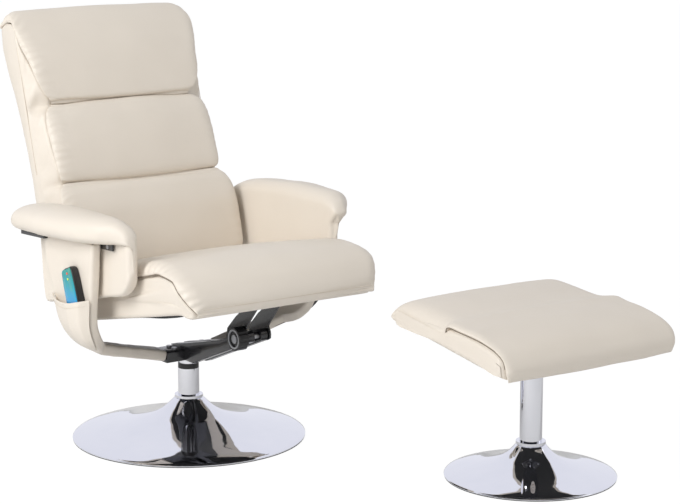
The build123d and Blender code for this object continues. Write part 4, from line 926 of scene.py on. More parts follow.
def flapLow(y):
    level, at, slope = rest["flapLow"]
    low = level + (at - y) * math.tan(math.radians(slope))
    corner, end = rest["flapCorner"], rest["flapEnd"]
    into = y - rest["flapFront"]
    if into < corner:
        low += corner - math.sqrt(max(0, corner**2 - (corner - into) ** 2))
    if y > rest["flapRear"] - end:
        low += (restBottom(y) - low - 2) * min(1, (y - rest["flapRear"] + end) / end) ** 2
    return min(low, restBottom(y) - 2)


def restRing(y, height, outer):
    low, flap = restBottom(y), flapLow(y)
    frontShrink = max(0, 1 - (y - rest["flapFront"]) / 13)
    slim = 11 * (1 - math.sqrt(max(0, 1 - frontShrink**2)))
    inner, flapOuter = rest["inner"] + slim, rest["inner"] + rest["flapThick"] - slim
    crest = min(rest["crest"], (inner + outer) / 2 + 4)
    tuck = min(height * 0.5, (outer - flapOuter) * 0.8)
    quarter = np.linspace(0, math.pi / 2, 9)[1:]
    places = [(inner, z) for z in np.linspace(flap + 9, low + height * 0.5, 11)]
    turns = [(math.sin(a), math.cos(a)) for a in quarter]
    places += [(crest - (crest - inner) * c**0.9, low + height * (0.5 + 0.5 * s)) for s, c in turns]
    places += [(crest + (outer - crest) * s, low + height * (0.42 + 0.58 * c**0.9)) for s, c in turns]
    places += [(outer - tuck * (1 - c), low + height * 0.42 * (1 - s**0.9)) for s, c in turns]
    edge = outer - tuck
    places += [(edge + (flapOuter - edge) * t, low) for t in (0.33, 0.66, 0.93)]
    places += [(flapOuter, z) for z in np.linspace(low - 1.5, flap + 9, 9)]
    half = (flapOuter - inner) / 2
    round6 = np.linspace(0, math.pi, 7)[1:-1]
    places += [(inner + half + half * math.cos(a), flap + 9 - 9 * math.sin(a)) for a in round6]
    return np.array([(px, y, pz) for px, pz in places])


def armrest(name, side, node, seed):
    ys = (-240, -238.5, -236, -232, -226, *np.linspace(-218, 215, 60), 221, 226, 229.5, 231.5)
    keys = evenLine(list(zip(rest["y"], rest["height"], rest["outer"])), 240)
    rings = []
    for y in ys:
        height = np.interp(y, keys[:, 0], keys[:, 1])
        outer = np.interp(y, keys[:, 0], keys[:, 2])
        rings.append(restRing(y, height, outer))
    rings = np.array(rings)
    (size, swell), (fine, ripple), (gather, pucker) = rest["swell"], rest["ripple"], rest["frontFolds"]
    lift = softNoise(rings, size, seed) * swell + softNoise(rings, fine, seed + 1) * ripple
    nearFront = np.exp(-(((rings[..., 1] + 205) / 30) ** 2)) * (rings[..., 2] > restBottom(-200))
    lift += nearFront * softNoise(rings * np.array((0.5, 1, 0.3)), gather, seed + 2) * pucker
    lift *= np.clip((rings[..., 1] + 240) / 20, 0, 1)
    if side > 0:
        hanging = np.clip((restBottom(rings[..., 1]) + 12 - rings[..., 2]) / 24, 0, 1)
        rings[..., 1] += (2 + rest["farBack"] * hanging) * np.clip((120 - rings[..., 1]) / 200, 0, 1)
        rings[..., 1] += rest["farRear"] * hanging * np.clip((rings[..., 1] - 110) / 50, 0, 1)
        rings[..., 0] -= rest["farIn"]
    rings[..., 0] *= side
    dress(skin(name, rings, lift), "swivel_frame", "cream_leather", [node], soft=rest["soft"])


armrest("armrestRight", -1, "armrest_right", 31.0)
armrest("armrestLeft", 1, "armrest_left", 35.0)


strut = {
    "face": 330,
    "thick": 25,
    "bend": 107,
    "slope": 14.2,
    "hubHalf": 62,
    "hubLevel": 194,
    "start": 78.5,
    "edge": 8,
    "splay": 262,  # above this height the strut widens
    "foot": ((-30, -28), (30, -25)),  # front and rear at the hub, and their change to the bend
    "frontTop": [
        (262, -58), (264.5, -75), (270, -88), (277.5, -97), (288, -105), (300, -110), (315, -112),
        (360, -116), (430, -123), (500, -132), (530, -136),
    ],
    "farIn": 18,
    "rearTop": [
        (262, 5), (290, 15), (330, 31), (368, 48), (405, 66), (438, 84), (475, 94), (520, 98), (530, 98),
    ],
}


# middle of the strut's bend
def strutBend():
    slope = math.radians(strut["slope"])
    centreX = strut["face"] - strut["bend"]
    rise = (centreX - strut["hubHalf"]) * math.tan(slope)
    return slope, centreX, strut["hubLevel"] + rise + strut["bend"] / math.cos(slope)


# stations on the strut's middle line: out from the hub, round the bend and up
def strutLine(radius):
    slope, centreX, centreZ = strutBend()
    stations = []
    footX = centreX + radius * math.sin(slope)
    footZ = centreZ - radius * math.cos(slope)
    for t in np.linspace(0, 1, 22):
        x = strut["start"] + (footX - strut["start"]) * t
        stations.append((x, footZ - (footX - x) * math.tan(slope), slope))
    for t in np.linspace(0, 1, 26)[1:]:
        a = slope + (math.pi / 2 - slope) * t
        stations.append((centreX + radius * math.sin(a), centreZ - radius * math.cos(a), a))
    for z in np.linspace(centreZ, restBottom(-20) + 2, 34)[1:]:
        stations.append((strut["face"] - strut["thick"] / 2, z, math.pi / 2))
    return stations


def strutSection(front, rear):
    half, edge = strut["thick"] / 2, strut["edge"]
    quarter = np.linspace(0, math.pi / 2, 6)
    curve = [(half - edge + edge * math.cos(b), edge * (1 - math.sin(b))) for b in quarter]
    flat, between = rear - front - 2 * edge, np.linspace(0, 1, 12)[1:-1]
    places = [(wide, front + down) for wide, down in curve]
    places += [(-wide, front + down) for wide, down in curve[::-1]]
    places += [(-half, front + edge + flat * t) for t in between]
    places += [(-wide, rear - down) for wide, down in curve]
    places += [(wide, rear - down) for wide, down in curve[::-1]]
    return places + [(half, rear - edge - flat * t) for t in between]


def sideFrame(name, side, node, seed):
    radius = strut["bend"] - strut["thick"] / 2
    frontTop, rearTop = np.array(strut["frontTop"]), np.array(strut["rearTop"])
    rings = []
    for x, z, a in strutLine(radius):
        if x < strut["splay"] and z < strut["splay"]:
            t = np.clip((x - strut["hubHalf"]) / 200, 0, 1)
            front, rear = [start + change * t for start, change in strut["foot"]]
        else:
            front = np.interp(z, frontTop[:, 0], frontTop[:, 1])
            rear = np.interp(z, rearTop[:, 0], rearTop[:, 1])
        normal = np.array((math.sin(a), -math.cos(a)))
        ring = []
        for deep, y in strutSection(front, rear):
            ring.append((x + normal[0] * deep, y, min(z + normal[1] * deep, restBottom(y) - 0.5)))
        rings.append(ring)
    rings = np.array(rings)
    lift = softNoise(rings, 70, seed) * 0.9
    inside = rings[..., 0] < strutBend()[1] + radius
    bendShare = np.exp(-(((rings[..., 2] - 250) / 30) ** 2)) * inside
    lift += bendShare * softNoise(rings * np.array((1, 0.3, 1)), 13, seed + 2) * 1.4
    lift *= np.clip((restBottom(0) - 12 - rings[..., 2]) / 20, 0, 1)
    if side > 0:
        share = np.clip((rings[..., 0] - 90) / 140, 0, 1) * np.clip((430 - rings[..., 2]) / 110, 0, 1)
        rings[..., 0] -= strut["farIn"] * share
        rings[..., 1] += 0.7 * strut["farIn"] * share * np.clip(-rings[..., 1] / 50, 0, 1)
    rings[..., 0] *= side
    dress(skin(name, rings, lift), "swivel_frame", "cream_leather", [node], soft=0.4)


sideFrame("sideFrameRight", -1, "side_frame_right", 41.0)
sideFrame("sideFrameLeft", 1, "side_frame_left", 45.0)


# thin closed sheet between two grids of points
def sheetOf(name, outer, inner, level=1):
    rows, columns = outer.shape[:2]
    points = np.concatenate([outer.reshape(-1, 3), inner.reshape(-1, 3)])
    shift = rows * columns
    faces = []
    for r in range(rows - 1):
        for c in range(columns - 1):
            a = r * columns + c
            b, d, e = a + 1, a + columns + 1, a + columns
            faces += [(a, b, d, e), (shift + e, shift + d, shift + b, shift + a)]
    rim = [(0, c) for c in range(columns)] + [(r, columns - 1) for r in range(1, rows)]
    rim += [(rows - 1, c) for c in range(columns - 2, -1, -1)] + [(r, 0) for r in range(rows - 2, 0, -1)]
    rim = [r * columns + c for r, c in rim]
    for a, b in zip(rim, rim[1:] + rim[:1]):
        faces.append((b, a, shift + a, shift + b))
    return pieceFrom(name, points, faces, 60, level)


pocket = {
    "wall": 2.2,
    "lip": [(-114, 396), (-100, 392), (-70, 384), (-30, 378), (5, 377), (28, 380), (42, 384), (49, 385)],
    "stand": [
        (-114, 0.4), (-110, 6), (-105, 15), (-100, 22), (-90, 26), (-75, 27.5), (-50, 27), (-35, 24),
        (0, 19), (28, 13), (42, 7), (49, 1),
    ],
    "hem": (12, 0.7),  # how far down it reaches, and how thick it is
    "depth": 150,
    "wrap": 52,  # degrees of the strut's bend
    "inset": (2.5, 5.0),
    "fold": (24, 1.6),
    "stitch": 4.5,
    "rows": 46,
    "columns": 34,
}


# place on the strut's outer face at a height, and the way out from it
def strutFace(z):
    _, centreX, centreZ = strutBend()
    if z > centreZ:
        return np.array((strut["face"], z)), np.array((1.0, 0.0))
    a = (centreZ - z) / strut["bend"]
    normal = np.array((math.cos(a), -math.sin(a)))
    return np.array((centreX, centreZ)) + normal * strut["bend"], normal


# pocket: hangs from a sagging lip and lies back on the outer face of the right side frame
def remotePocket():
    lip, stand = np.array(pocket["lip"], float), np.array(pocket["stand"], float)
    front, rear = np.array(strut["frontTop"]), np.array(strut["rearTop"])
    foldSize, foldDepth = pocket["fold"]
    hemDown, hemThick = pocket["hem"]
    outer, inner = [], []
    turnLength = strut["bend"] * math.radians(pocket["wrap"])
    for q in np.linspace(0, 1, pocket["rows"]):
        rowOut, rowIn = [], []
        for p in np.linspace(0, 1, pocket["columns"]):
            lipY = lip[0, 0] + (lip[-1, 0] - lip[0, 0]) * p
            top = np.interp(lipY, lip[:, 0], lip[:, 1])
            down = q * (top - strutBend()[2] + turnLength)
            spot, normal = strutFace(top - down)
            yFront = np.interp(spot[1], front[:, 0], front[:, 1]) - pocket["inset"][0]
            yRear = np.interp(spot[1], rear[:, 0], rear[:, 1]) - pocket["inset"][1]
            y = yFront + (yRear - yFront) * p
            slack = max(0, math.sin(math.pi * p)) ** 0.7
            lift = 0.9 + np.interp(lipY, stand[:, 0], stand[:, 1]) * (1 - q) ** 1.1 * (1 + 1.1 * q)
            here = np.array((spot[0], y, spot[1])) * np.array((1, 1, 0.45))
            lift += softNoise(here, foldSize, 51.0) * foldDepth * slack * (1 - 0.6 * q) * min(1, q * 8)
            lift += hemThick if down < hemDown else 0.0
            for row, deep in ((rowOut, lift), (rowIn, max(0.5, lift - pocket["wall"]))):
                row.append((-(spot[0] + normal[0] * deep), y, spot[1] + normal[1] * deep))
        outer.append(rowOut)
        inner.append(rowIn)
    outer, inner = np.array(outer), np.array(inner)
    dress(sheetOf("remotePocket", outer, inner), "swivel_frame", "cream_leather", ["remote_pocket"])
    hemRow = int(round(hemDown / pocket["depth"] * pocket["rows"]))
    row = stitches("pocketStitches", outer[hemRow, 1:-1] + np.array((-0.5, 0, 0)), pocket["stitch"])
    dress(row, "swivel_frame", "cream_leather", material=thread)


remotePocket()

handset = {
    "origin": (-330, -44.2, 459.8),
    "lean": 20,
    "half": [
        (0, 15), (2.5, 20), (7, 23.5), (16, 25.5), (40, 27.5), (80, 28), (105, 27.5), (112, 25), (115, 19),
    ],
    "downs": (0, 1, 2.5, 4.5, 7, 11, *np.linspace(16, 104, 22), 108, 111, 113.5, 115),
    "back": 0.4,
    "front": 20.2,
    "edge": 4.5,
    "well": 12.8,
    "margin": 3.2,
    "face": ((19.0, 0.6), (19.9, 0.4), (20.3, -0.4)),  # height of each layer, and how far it stands out
    "faceEnds": (3.4, 111.6),
    "board": [(9, -20), (9, 20), (104, 22), (104, -22)],
    "boardDeep": (13.0, 14.0),
}


def onHandset(down, side, out):
    s, c = math.sin(math.radians(handset["lean"])), math.cos(math.radians(handset["lean"]))
    x, y, z = handset["origin"]
    return np.stack([x - out, y - down * s + side * c, z - down * c - side * s], -1)


def handsetRing(down, wide):
    quarter = np.linspace(0, math.pi / 2, 6)
    sink = 5.5 * max(0, 1 - down / 9) ** 2 + 3 * max(0, 1 - (115 - down) / 6) ** 2
    low, high = handset["back"] + sink * 0.4, handset["front"] - sink - 0.6
    edge = min(handset["edge"], (high - low) / 2.2)
    well, small = min(handset["well"], high - 1), edge * 0.6
    upper = [(wide - edge + edge * math.cos(a), high - edge + edge * math.sin(a)) for a in quarter]
    lower = [(wide - small + small * math.cos(a), low + small * (1 - math.sin(a))) for a in quarter]
    ring = list(upper)
    for t in (1, 0.98, 0.5, 0, -0.5, -0.98, -1):
        ring.append((t * (wide - edge - 1), well if abs(t) < 1 else high - 0.3))
    ring += [(-x, z) for x, z in upper[::-1]] + [(-x, z) for x, z in lower] + lower[::-1]
    ring = np.array(ring)
    return onHandset(down + ring[:, 0] * 0, ring[:, 0], ring[:, 1])


def handsetBody():
    half = np.array(handset["half"], float)
    rings = [handsetRing(down, np.interp(down, half[:, 0], half[:, 1])) for down in handset["downs"]]
    dress(skin("remoteCase", rings), "remote", "black_plastic", ["remote_case"])
    downs = np.linspace(*handset["faceEnds"], 26)
    face = []
    for deep, grow in handset["face"]:
        wide = np.interp(downs, half[:, 0], half[:, 1]) - handset["margin"] + grow
        down, across = np.concatenate([downs, downs[::-1]]), np.concatenate([wide, -wide[::-1]])
        face.append(onHandset(down, across, deep + down * 0 - 3.0 * np.clip(1 - down / 9, 0, 1) ** 2))
    dress(skin("remoteFace", face, level=0, sharp=40), "remote", "blue_face", ["remote_face"])
    corners = np.array(handset["board"], float)
    board = [onHandset(*corners.T, corners[:, 0] * 0 + deep) for deep in handset["boardDeep"]]
    dress(skin("remoteBoard", board, level=0, sharp=30), "remote", "circuit_board", ["remote_board"])


handsetBody()

# from and to across, from and to along, and how far below the armrest
rail = {
    "bars": {
        "railBracket": (300, 304.5, -182, -128, 0.4, 17),
        "railStrip": (300, 325.5, -128, 222, 0.4, 8),
        "railEarArm": (254, 301, 188, 222, 0.4, 8),
        "railTail": (318, 341, 74, 186, 1.0, 12),
    },
    "ear": (205, 500, 18),  # its middle and radius
    "earLayers": ((254, 1), (254.4, 0.3), (255, 0), (257, 0), (257.6, 0.3), (258, 1)),
}


def beam(x0, x1, y0, y1, drop0, drop1, edge=1.0):
    quarter = np.linspace(0, math.pi / 2, 4)
    rings = []
    for y, shrink in [(y0, edge)] + [(y, 0) for y in np.linspace(y0 + edge, y1 - edge, 10)] + [(y1, edge)]:
        top, low = restBottom(y) - drop0, restBottom(y) - drop1
        inset = edge + shrink * 0.6
        ring = []
        for cx, cz, start in ((x1, top, 0), (x0, top, 1), (x0, low, 2), (x1, low, 3)):
            sx, sz = (-1 if cx == x1 else 1), (-1 if cz == top else 1)
            for a in quarter:
                turn = a + start * math.pi / 2
                x, z = cx + sx * inset + edge * math.cos(turn), cz + sz * inset + edge * math.sin(turn)
                ring.append((x, y, z))
        rings.append(ring)
    return np.array(rings)


def armRails():
    middleY, middleZ, radius = rail["ear"]
    turn = np.linspace(math.pi, 2 * math.pi, 22)
    outline = [(y, restBottom(y) - 7) for y in (middleY + radius, middleY - radius)]
    outline[1:1] = [(middleY - radius * math.cos(a), middleZ + radius * math.sin(a)) for a in turn[::-1]]
    outline = evenLine(outline, 60, True)
    way = outline.mean(axis=0) - outline
    for side, word in ((-1, "Right"), (1, "Left")):
        for name, sizes in rail["bars"].items():
            piece = skin(name + word, beam(*sizes) * np.array((side, 1, 1)), level=0, sharp=30)
            dress(piece, "swivel_frame", "black_steel", ["armrest_rails"])
        ear = []
        for x, shrink in rail["earLayers"]:
            spot = outline + way / np.linalg.norm(way, axis=1, keepdims=True) * shrink
            ear.append(np.stack([spot[:, 0] * 0 + x * side, spot[:, 0], spot[:, 1]], -1))
        piece = skin("railEar" + word, ear, level=0, sharp=30)
        dress(piece, "swivel_frame", "black_steel", ["armrest_rails"])


armRails()


# round screw head with a domed top, standing along an axis
def screwHead(name, spot, axis, radius, height):
    axis = np.array(axis, float)
    guide = np.cross(axis, (0.3, 0.9, 0.2))
    guide /= np.linalg.norm(guide)
    other = np.cross(axis, guide)
    turns = np.linspace(0, 2 * math.pi, 24, endpoint=False)
    circle = np.array([guide * math.cos(a) + other * math.sin(a) for a in turns])
    rings = []
    for share, up in ((1, 0), (1, 0.55), (0.93, 0.8), (0.7, 1), (0.42, 1.0), (0.38, 0.45)):
        rings.append(np.array(spot) + axis * height * up + radius * share * circle)
    return skin(name, rings, level=0, sharp=35)


for side, word in ((-1, "Right"), (1, "Left")):
    spot = (side * 304.3, -160, restBottom(-160) - 9)
    front = screwHead("armScrewFront" + word, spot, (side, 0, 0), 5, 2.6)
    dress(front, "swivel_frame", "plain_steel", ["armrest_bolts"])
    rear = screwHead("armScrewRear" + word, (side * 313, 150, restBottom(150) - 8.2), (0, 0, -1), 6, 3.5)
    dress(rear, "swivel_frame", "plain_steel", ["armrest_bolts"])


def underCloth(name, body, node, place, first, last, half, level, sag, seed, droop=0):
    outer, inner = [], []
    for t in np.linspace(0, 1, 24):
        rowOut, rowIn = [], []
        for k in np.linspace(-1, 1, 30):
            forward, x = first + (last - first) * t, half * k
            belly = sag * (1 - k**4) * math.sin(math.pi * t) ** 0.6
            belly += droop * (1 - k**18) * math.exp(-(((forward - 385) / 75) ** 2)) * abs(k) ** 2
            spot = np.array((x, forward, 0.0))
            ripple = softNoise(spot, 30, seed) * 0.8 * (1 - k**8)
            rowOut.append(place(x, forward, level - belly + ripple))
            rowIn.append(place(x, forward, level - belly + ripple + 0.9))
        outer.append(rowOut)
        inner.append(rowIn)
    dress(sheetOf(name, np.array(outer), np.array(inner), 0), body, "black_cloth", [node])


underCloth("seatDustCover", "seat", "seat_dust_cover", onSeat, -23, 492, 240, -121.5, 3.0, 61.0, 9)
underCloth("stoolDustCover", "footstool", "stool_dust_cover", onStool, -176, 177, 229, -1.4, 0.6, 62.0)


# woven straps laid across a frame; each is a thin ribbon with a slight sag
def straps(name, body, node, place, ribbons, depth, width=46):
    for k, (start, end) in enumerate(ribbons):
        start, end = np.array(start, float), np.array(end, float)
        way = (end - start) / np.linalg.norm(end - start)
        across = np.array((-way[1], way[0]))
        outer, inner = [], []
        for t in np.linspace(0, 1, 16):
            mid = start + (end - start) * t
            sag = 2.0 * math.sin(math.pi * t)
            row = [mid + across * width * 0.5 * w for w in np.linspace(-1, 1, 5)]
            outer.append([place(px, py, depth - sag) for px, py in row])
            inner.append([place(px, py, depth - sag - 1.4) for px, py in row])
        piece = sheetOf(name + str(k + 1), np.array(outer), np.array(inner), 0)
        dress(piece, body, "black_cloth", [node])


seatRibbons = [((x, -12), (x, 486)) for x in (-168, -56, 56, 168)]
seatRibbons += [((-224, up), (224, up)) for up in (38, 138, 237, 336, 436)]
straps("seatStrap", "seat", "seat_webbing", onSeat, seatRibbons, -80.9)
backRibbons = [((-222, up), (222, up)) for up in (60, 138, 216, 294, 372, 450)]
straps("backStrap", "backrest", "back_webbing", onBack, backRibbons, -25.4)

foamRows = {
    "box": [
        (-20, -76), (-21, -45), (-14, -34), (200, -33.5), (420, -33.5), (452, -42), (476, -57), (490, -70),
        (494, -77), (300, -77.5), (100, -77.5),
    ],
    "boxHalf": 234,
    "boxRound": 7,
    "soft": 0.9,
}
seatFoam = roundedSlab("seatFoam", foamRows, onSeat, 71.0, 90, 12, 0.6)
dress(seatFoam, "seat", "foam", ["seat_foam"], soft=foamRows["soft"])

brackets = {
    "loop": [
        (472, -122.6), (416, -122.6), (362, -148), (322, -172), (314, -190), (314, -204), (328, -211),
        (388, -211), (401, -207), (404, -192), (400, -178), (432, -149),
    ],
    "slot": [(329.5, -197), (385, -197)],
    "slotRadius": 6.4,
    "x": (28.6, 32.6),
}


# skin over cross sections that run all the way round
def closedRings(name, rings, sharp=40):
    faces = gridFaces(*rings.shape[:2], True)
    return pieceFrom(name, rings.reshape(-1, 3), faces, sharp)


# slotted plate as a ring of cross sections between its edge and its slot
def seatBracket(name, side):
    edge = np.array(brackets["loop"], float)
    ends, share = np.roll(edge, -1, axis=0), np.linspace(0, 1, 60)[:, None]
    dense = np.concatenate([a + (b - a) * share for a, b in zip(edge, ends)])
    start, end = np.array(brackets["slot"], float)
    middle = (start + end) / 2
    turns = np.arctan2(dense[:, 1] - middle[1], dense[:, 0] - middle[0])
    loops = []
    for turn in np.linspace(-math.pi, math.pi, 120, endpoint=False):
        way = np.array((math.cos(turn), math.sin(turn)))
        gap = np.abs((turns - turn + math.pi) % (2 * math.pi) - math.pi)
        reach = np.linalg.norm(dense[np.argmin(gap)] - middle)
        tries = np.linspace(0, 60, 1200)
        spots = middle + way * tries[:, None]
        share = np.clip((spots[:, 0] - start[0]) / (end[0] - start[0]), 0, 1)
        far = np.linalg.norm(spots - (start + (end - start) * share[:, None]), axis=1)
        inner = tries[np.argmax(far > brackets["slotRadius"])]
        x0, x1 = brackets["x"]
        section = [(x0, reach - 0.8), (x0 + 0.8, reach), (x1 - 0.8, reach), (x1, reach - 0.8)]
        section += [(x1, inner + 0.6), (x1 - 0.6, inner), (x0 + 0.6, inner), (x0, inner + 0.6)]
        loops.append([onSeat(px * side, *(middle + way * size)) for px, size in section])
    plate = closedRings(name, np.array(loops), 30)
    dress(plate, "seat", "black_steel", ["seat_brackets"])
    wing = []
    for forward, slim in [(301, 1)] + [(f, 0) for f in np.linspace(302, 450, 8)] + [(451, 1)]:
        ring = [(33, -0.6), (53.4, -0.6), (54.4, -1.6), (54.4, -3), (53.4, -4), (33, -4)]
        wing.append([onSeat((px - slim * 0.4) * side, forward, -121.6 + up) for px, up in ring])
    dress(skin(name + "Flange", wing, level=0, sharp=30), "seat", "black_steel", ["seat_brackets"])


bases = {
    "rise": [
        (0, 0.02), (0.004, 0.035), (0.03, 0.06), (0.12, 0.115), (0.24, 0.175), (0.36, 0.235), (0.48, 0.305),
        (0.60, 0.39), (0.70, 0.475), (0.78, 0.56), (0.85, 0.665), (0.90, 0.765), (0.94, 0.86), (0.97, 0.94),
        (1.0, 1.0),
    ],
    "neck": 31,
    "wall": 1.6,
}


def trumpet(name, body, node, centre, rim, height):
    line = evenLine(bases["rise"], 60)
    radius = rim - (rim - bases["neck"]) * line[:, 0]
    level = 2.2 + (height - 2.2) * line[:, 1]
    under = np.maximum(level - bases["wall"] * 1.3, 2.0)
    section = list(zip(radius, level)) + list(zip(radius - bases["wall"], under))[::-1]
    section.append((rim - 0.3, 2.0))
    rings = []
    for turn in np.linspace(0, 2 * math.pi, 160, endpoint=False):
        s, c = math.sin(turn), math.cos(turn)
        rings.append([(centre[0] + r * c, centre[1] + r * s, z) for r, z in section])
    dress(closedRings(name, np.array(rings), 40), body, "chrome", [node])


arms = {
    "loop": [
        (34, 220.6), (34, 222.5), (10, 228), (-40, 239), (-99, 252), (-180, 272), (-284, 313), (-293, 315),
        (-302, 310), (-305, 300), (-303, 291), (-296, 287), (-180, 240.5), (-66, 194.4), (-60, 193.6),
        (-31, 193.6), (-30.4, 194.4), (-30.4, 219.8), (-29, 220.6),
    ],
    "spine": [(-20, 224), (-60, 218), (-100, 226), (-180, 257), (-285, 301)],
    "x": (8, 28),
    "hub": (78, 30.5, 193.6, 220.4),  # half width, half depth, lower and upper level
    "hubRound": 3,
}


def riseArm(name, side):
    edge = np.array(arms["loop"], float)
    x0, x1 = arms["x"]
    spine = np.array(arms["spine"], float)
    rings = []
    for x, inset in ((x0, 2.2), (x0 + 0.5, 0.9), (x0 + 1.8, 0), (x1 - 1.8, 0), (x1 - 0.5, 0.9), (x1, 2.2)):
        ring = []
        for py, pz in edge:
            ahead = np.clip(py, spine[-1, 0], spine[0, 0])
            near = np.array((ahead, np.interp(ahead, spine[::-1, 0], spine[::-1, 1])))
            way = near - np.array((py, pz))
            far = np.linalg.norm(way)
            spot = np.array((py, pz)) + way / max(1e-6, far) * min(inset, far * 0.4)
            ring.append((x * side, spot[0], spot[1]))
        rings.append(ring)
    rings = np.array(rings)
    rows, columns = rings.shape[:2]
    faces = gridFaces(rows, columns)
    faces += [tuple(range(columns)), tuple(range((rows - 1) * columns, rows * columns))]
    piece = pieceFrom(name, rings.reshape(-1, 3), faces, 32)
    dress(piece, "swivel_frame", "black_steel", ["rise_arms"])


def hubBox():
    half, deep, low, high = arms["hub"]
    quarter = np.linspace(0, math.pi / 2, 5)
    rings = []
    ends = ((half, 1.5), (half - 0.6, 0.5), (half - 2, 0), (30, 0))
    radius = arms["hubRound"]
    for x, slim in [(-x, slim) for x, slim in ends] + list(ends[::-1]):
        ring = []
        for cy, cz, start in ((deep, high, 0), (-deep, high, 1), (-deep, low, 2), (deep, low, 3)):
            sy, sz = np.sign(cy), (1 if cz == high else -1)
            for a in quarter:
                turn = a + start * math.pi / 2
                y = cy - sy * (radius + slim) + radius * math.cos(turn)
                ring.append((x, y, cz - sz * (radius + slim) + radius * math.sin(turn)))
        rings.append(ring)
    dress(skin("hubBox", rings, level=0, sharp=35), "swivel_frame", "black_steel", ["hub_tube"])


riseArm("riseArmRight", -1)
riseArm("riseArmLeft", 1)
hubBox()

trumpet("chairTrumpet", "chair_base", "chair_base_shell", (0, 0), 280, 96)
trumpet("stoolTrumpet", "footstool", "stool_base_shell", (449.5, -734.9), 195.6, 76)

seatBracket("seatBracketRight", -1)
seatBracket("seatBracketLeft", 1)


# painted shade lines in the gaps where covers meet, and thread rows along hems
def seamRow(name, body, points, radius, material):
    for side, word in ((1, "Left"), (-1, "Right")):
        row = np.array(points, float) * np.array((side, 1, 1))
        dress(strip(name + word, row, radius), body, "cream_leather", material=material)


def seatSeam():
    table = np.array(seatRows["cushion"], float)[2:-3, 2:]
    line = evenLine(table[:, [1, 2, 0]], 90)
    # painted shade: a dark strip in the slit between the cushion and the box
    seamRow("seatSeam", "seat", [onNose(x - 1.2, a, b - 1.2) for a, b, x in line], 1.5, shade)
    hem = [onNose(x, 547.5, -114) for x in np.linspace(-236, 236, 80)]
    dress(strip("seatHem", hem, 0.7), "seat", "cream_leather", material=thread)


def stoolSeam():
    # painted shade: dark strips in the slit between the cushion and the box
    table = np.array(stoolRows["cushion"], float)[8:-4, 2:]
    line = evenLine(table[:, [1, 2, 0]], 70)
    for side, word in ((1, "Left"), (-1, "Right")):
        row = [onStool(side * (x - 1.0), a, b - 1.2) for a, b, x in line]
        dress(strip("stoolSeam" + word, row, 1.1), "footstool", "cream_leather", material=shade)


def backSeams():
    keys = evenLine(backRows["rearSeam"][1:5], 70)
    x = backRows["shellSide"] - 0.9
    seamRow("backSeam", "backrest", [onBack(x, up, out) for up, out in keys], 0.8, thread)


seatSeam()
stoolSeam()
backSeams()
# painted shade: a dark line along the seam under the right armrest top, on the flap's outer face
seamX = rest["inner"] + rest["flapThick"] + 0.2
flapSeamShade = [(-seamX, y, restBottom(y) - 0.6) for y in np.linspace(-226, -128, 30)]
dress(strip("flapSeamShade", flapSeamShade, 0.9), "swivel_frame", "cream_leather", material=shade)


# floor, light and camera
stage = {
    "floor": 40.0,
    "floorGlow": 1.07,
    "worldLight": 0.5,
    "mirrorWay": (-0.584, 0.812, 0.35),
    "mirrorWhite": (0.86, 0.87, 0.94),
    "mirrorDark": (0.01, 0.01, 0.016),
}
lamps = {
    "keyLight": ((-3.7, -1.0, 2.9), (0, 0, 0.5), (2.2, 2.2), 135),
    "fillLight": ((2.8, -3.2, 2.4), (0.2, -0.3, 0.4), (2.6, 2.6), 16),
}
camera = {
    "azimuth": -35.72,
    "pitch": 11.16,
    "away": 4.9646,
    "aside": 0.3639,
    "up": 1.4282,
    "focus": 2130,  # in picture dots
    "across": 680,
    "sensor": 36,
}


def paleFloor():
    board = Board("paleFloor")
    seen = board.make("LightPath", out=0)
    speck = board.noise(400, 2)
    tone = board.mixed(speck, (0.90, 0.90, 0.90), (0.92, 0.92, 0.92))
    sockets = {"Base Color": tone, "Roughness": 0.9, "Specular IOR Level": 0.0}
    matt = board.make("BsdfPrincipled", None, sockets)
    bright = board.make("Emission", None, {"Color": (1, 1, 1, 1), "Strength": stage["floorGlow"]})
    mixed = board.make("MixShader", None, {0: seen * 0.9, 1: matt, 2: bright})
    board.make("OutputMaterial", None, {"Surface": mixed})
    return board.material


def stageFloor():
    size = stage["floor"] * 1000
    corners = [(-size, -size, -1), (size, -size, -1), (size, size, -1), (-size, size, -1)]
    floor = pieceFrom("floor", corners, [(0, 1, 2, 3)])
    floor.data.materials.append(paleFloor())


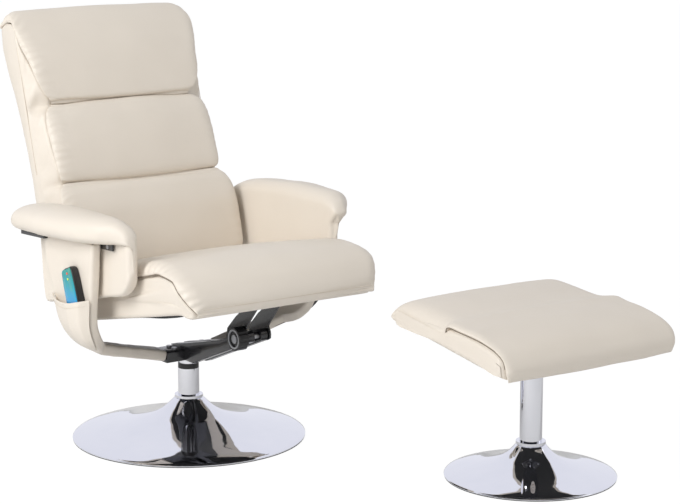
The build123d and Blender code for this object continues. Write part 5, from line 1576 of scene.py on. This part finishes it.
def softbox(name, place, aim, size, power):
    lamp = bpy.data.lights.new(name, "AREA")
    lamp.shape = "RECTANGLE"
    lamp.size, lamp.size_y = size
    lamp.energy = power
    holder = bpy.data.objects.new(name, lamp)
    bpy.context.scene.collection.objects.link(holder)
    holder.location = place
    way = np.array(aim, float) - np.array(place, float)
    flat = math.hypot(way[0], way[1])
    holder.rotation_euler = (math.atan2(flat, -way[2]), 0, math.atan2(-way[0], way[1]))


def whiteRoom():
    world = bpy.data.worlds.new("room")
    bpy.context.scene.world = world
    world.use_nodes = True
    board = Board("room", world.node_tree)
    seen = board.make("LightPath", out=0)
    glossy, clear = seen.beside("Is Glossy Ray"), seen.beside("Is Transmission Ray")
    shown = board.sum("MAXIMUM", seen, clear)
    strength = shown + (1 - shown) * (glossy + (1 - glossy) * stage["worldLight"])
    way = board.make("SeparateXYZ", None, {0: board.make("TexCoord", out=0)}, out=0)
    above = way.beside(2)
    x, y, z = stage["mirrorWay"]
    toward = way * x - way.beside(1) * y + above * z
    dark = board.make("ValToRGB", {"stops": [(0.05, (0, 0, 0)), (0.3, (1, 1, 1))]}, {0: toward})
    high = board.make("ValToRGB", {"stops": [(0.02, (0, 0, 0)), (0.1, (1, 1, 1))]}, {0: above})
    reflected = board.mixed(dark * high, stage["mirrorWhite"], stage["mirrorDark"])
    tone = board.mixed(glossy * (1 - shown), (1.0, 1.0, 1.0), reflected)
    light = board.make("Background", None, {"Color": tone, "Strength": strength})
    board.make("OutputWorld", None, {"Surface": light})


stageFloor()
whiteRoom()
for name, (place, aim, size, power) in lamps.items():
    softbox(name, place, aim, size, power)


def photoCamera():
    azimuth, pitch = math.radians(camera["azimuth"]), math.radians(camera["pitch"])
    forward = np.array((-math.sin(azimuth), math.cos(azimuth), 0))
    right = np.array((math.cos(azimuth), math.sin(azimuth), 0))
    lens = bpy.data.cameras.new("photoCamera")
    lens.sensor_width = camera["sensor"]
    lens.lens = camera["focus"] * camera["sensor"] / camera["across"]
    lens.clip_start, lens.clip_end = 0.1, 60
    holder = bpy.data.objects.new("photoCamera", lens)
    bpy.context.scene.collection.objects.link(holder)
    holder.location = -forward * camera["away"] + right * camera["aside"] + np.array((0, 0, camera["up"]))
    holder.rotation_euler = (math.pi / 2 - pitch, 0, azimuth)
    bpy.context.scene.camera = holder


photoCamera()
bpy.context.scene.view_settings.view_transform = "Standard"
print("stage set")
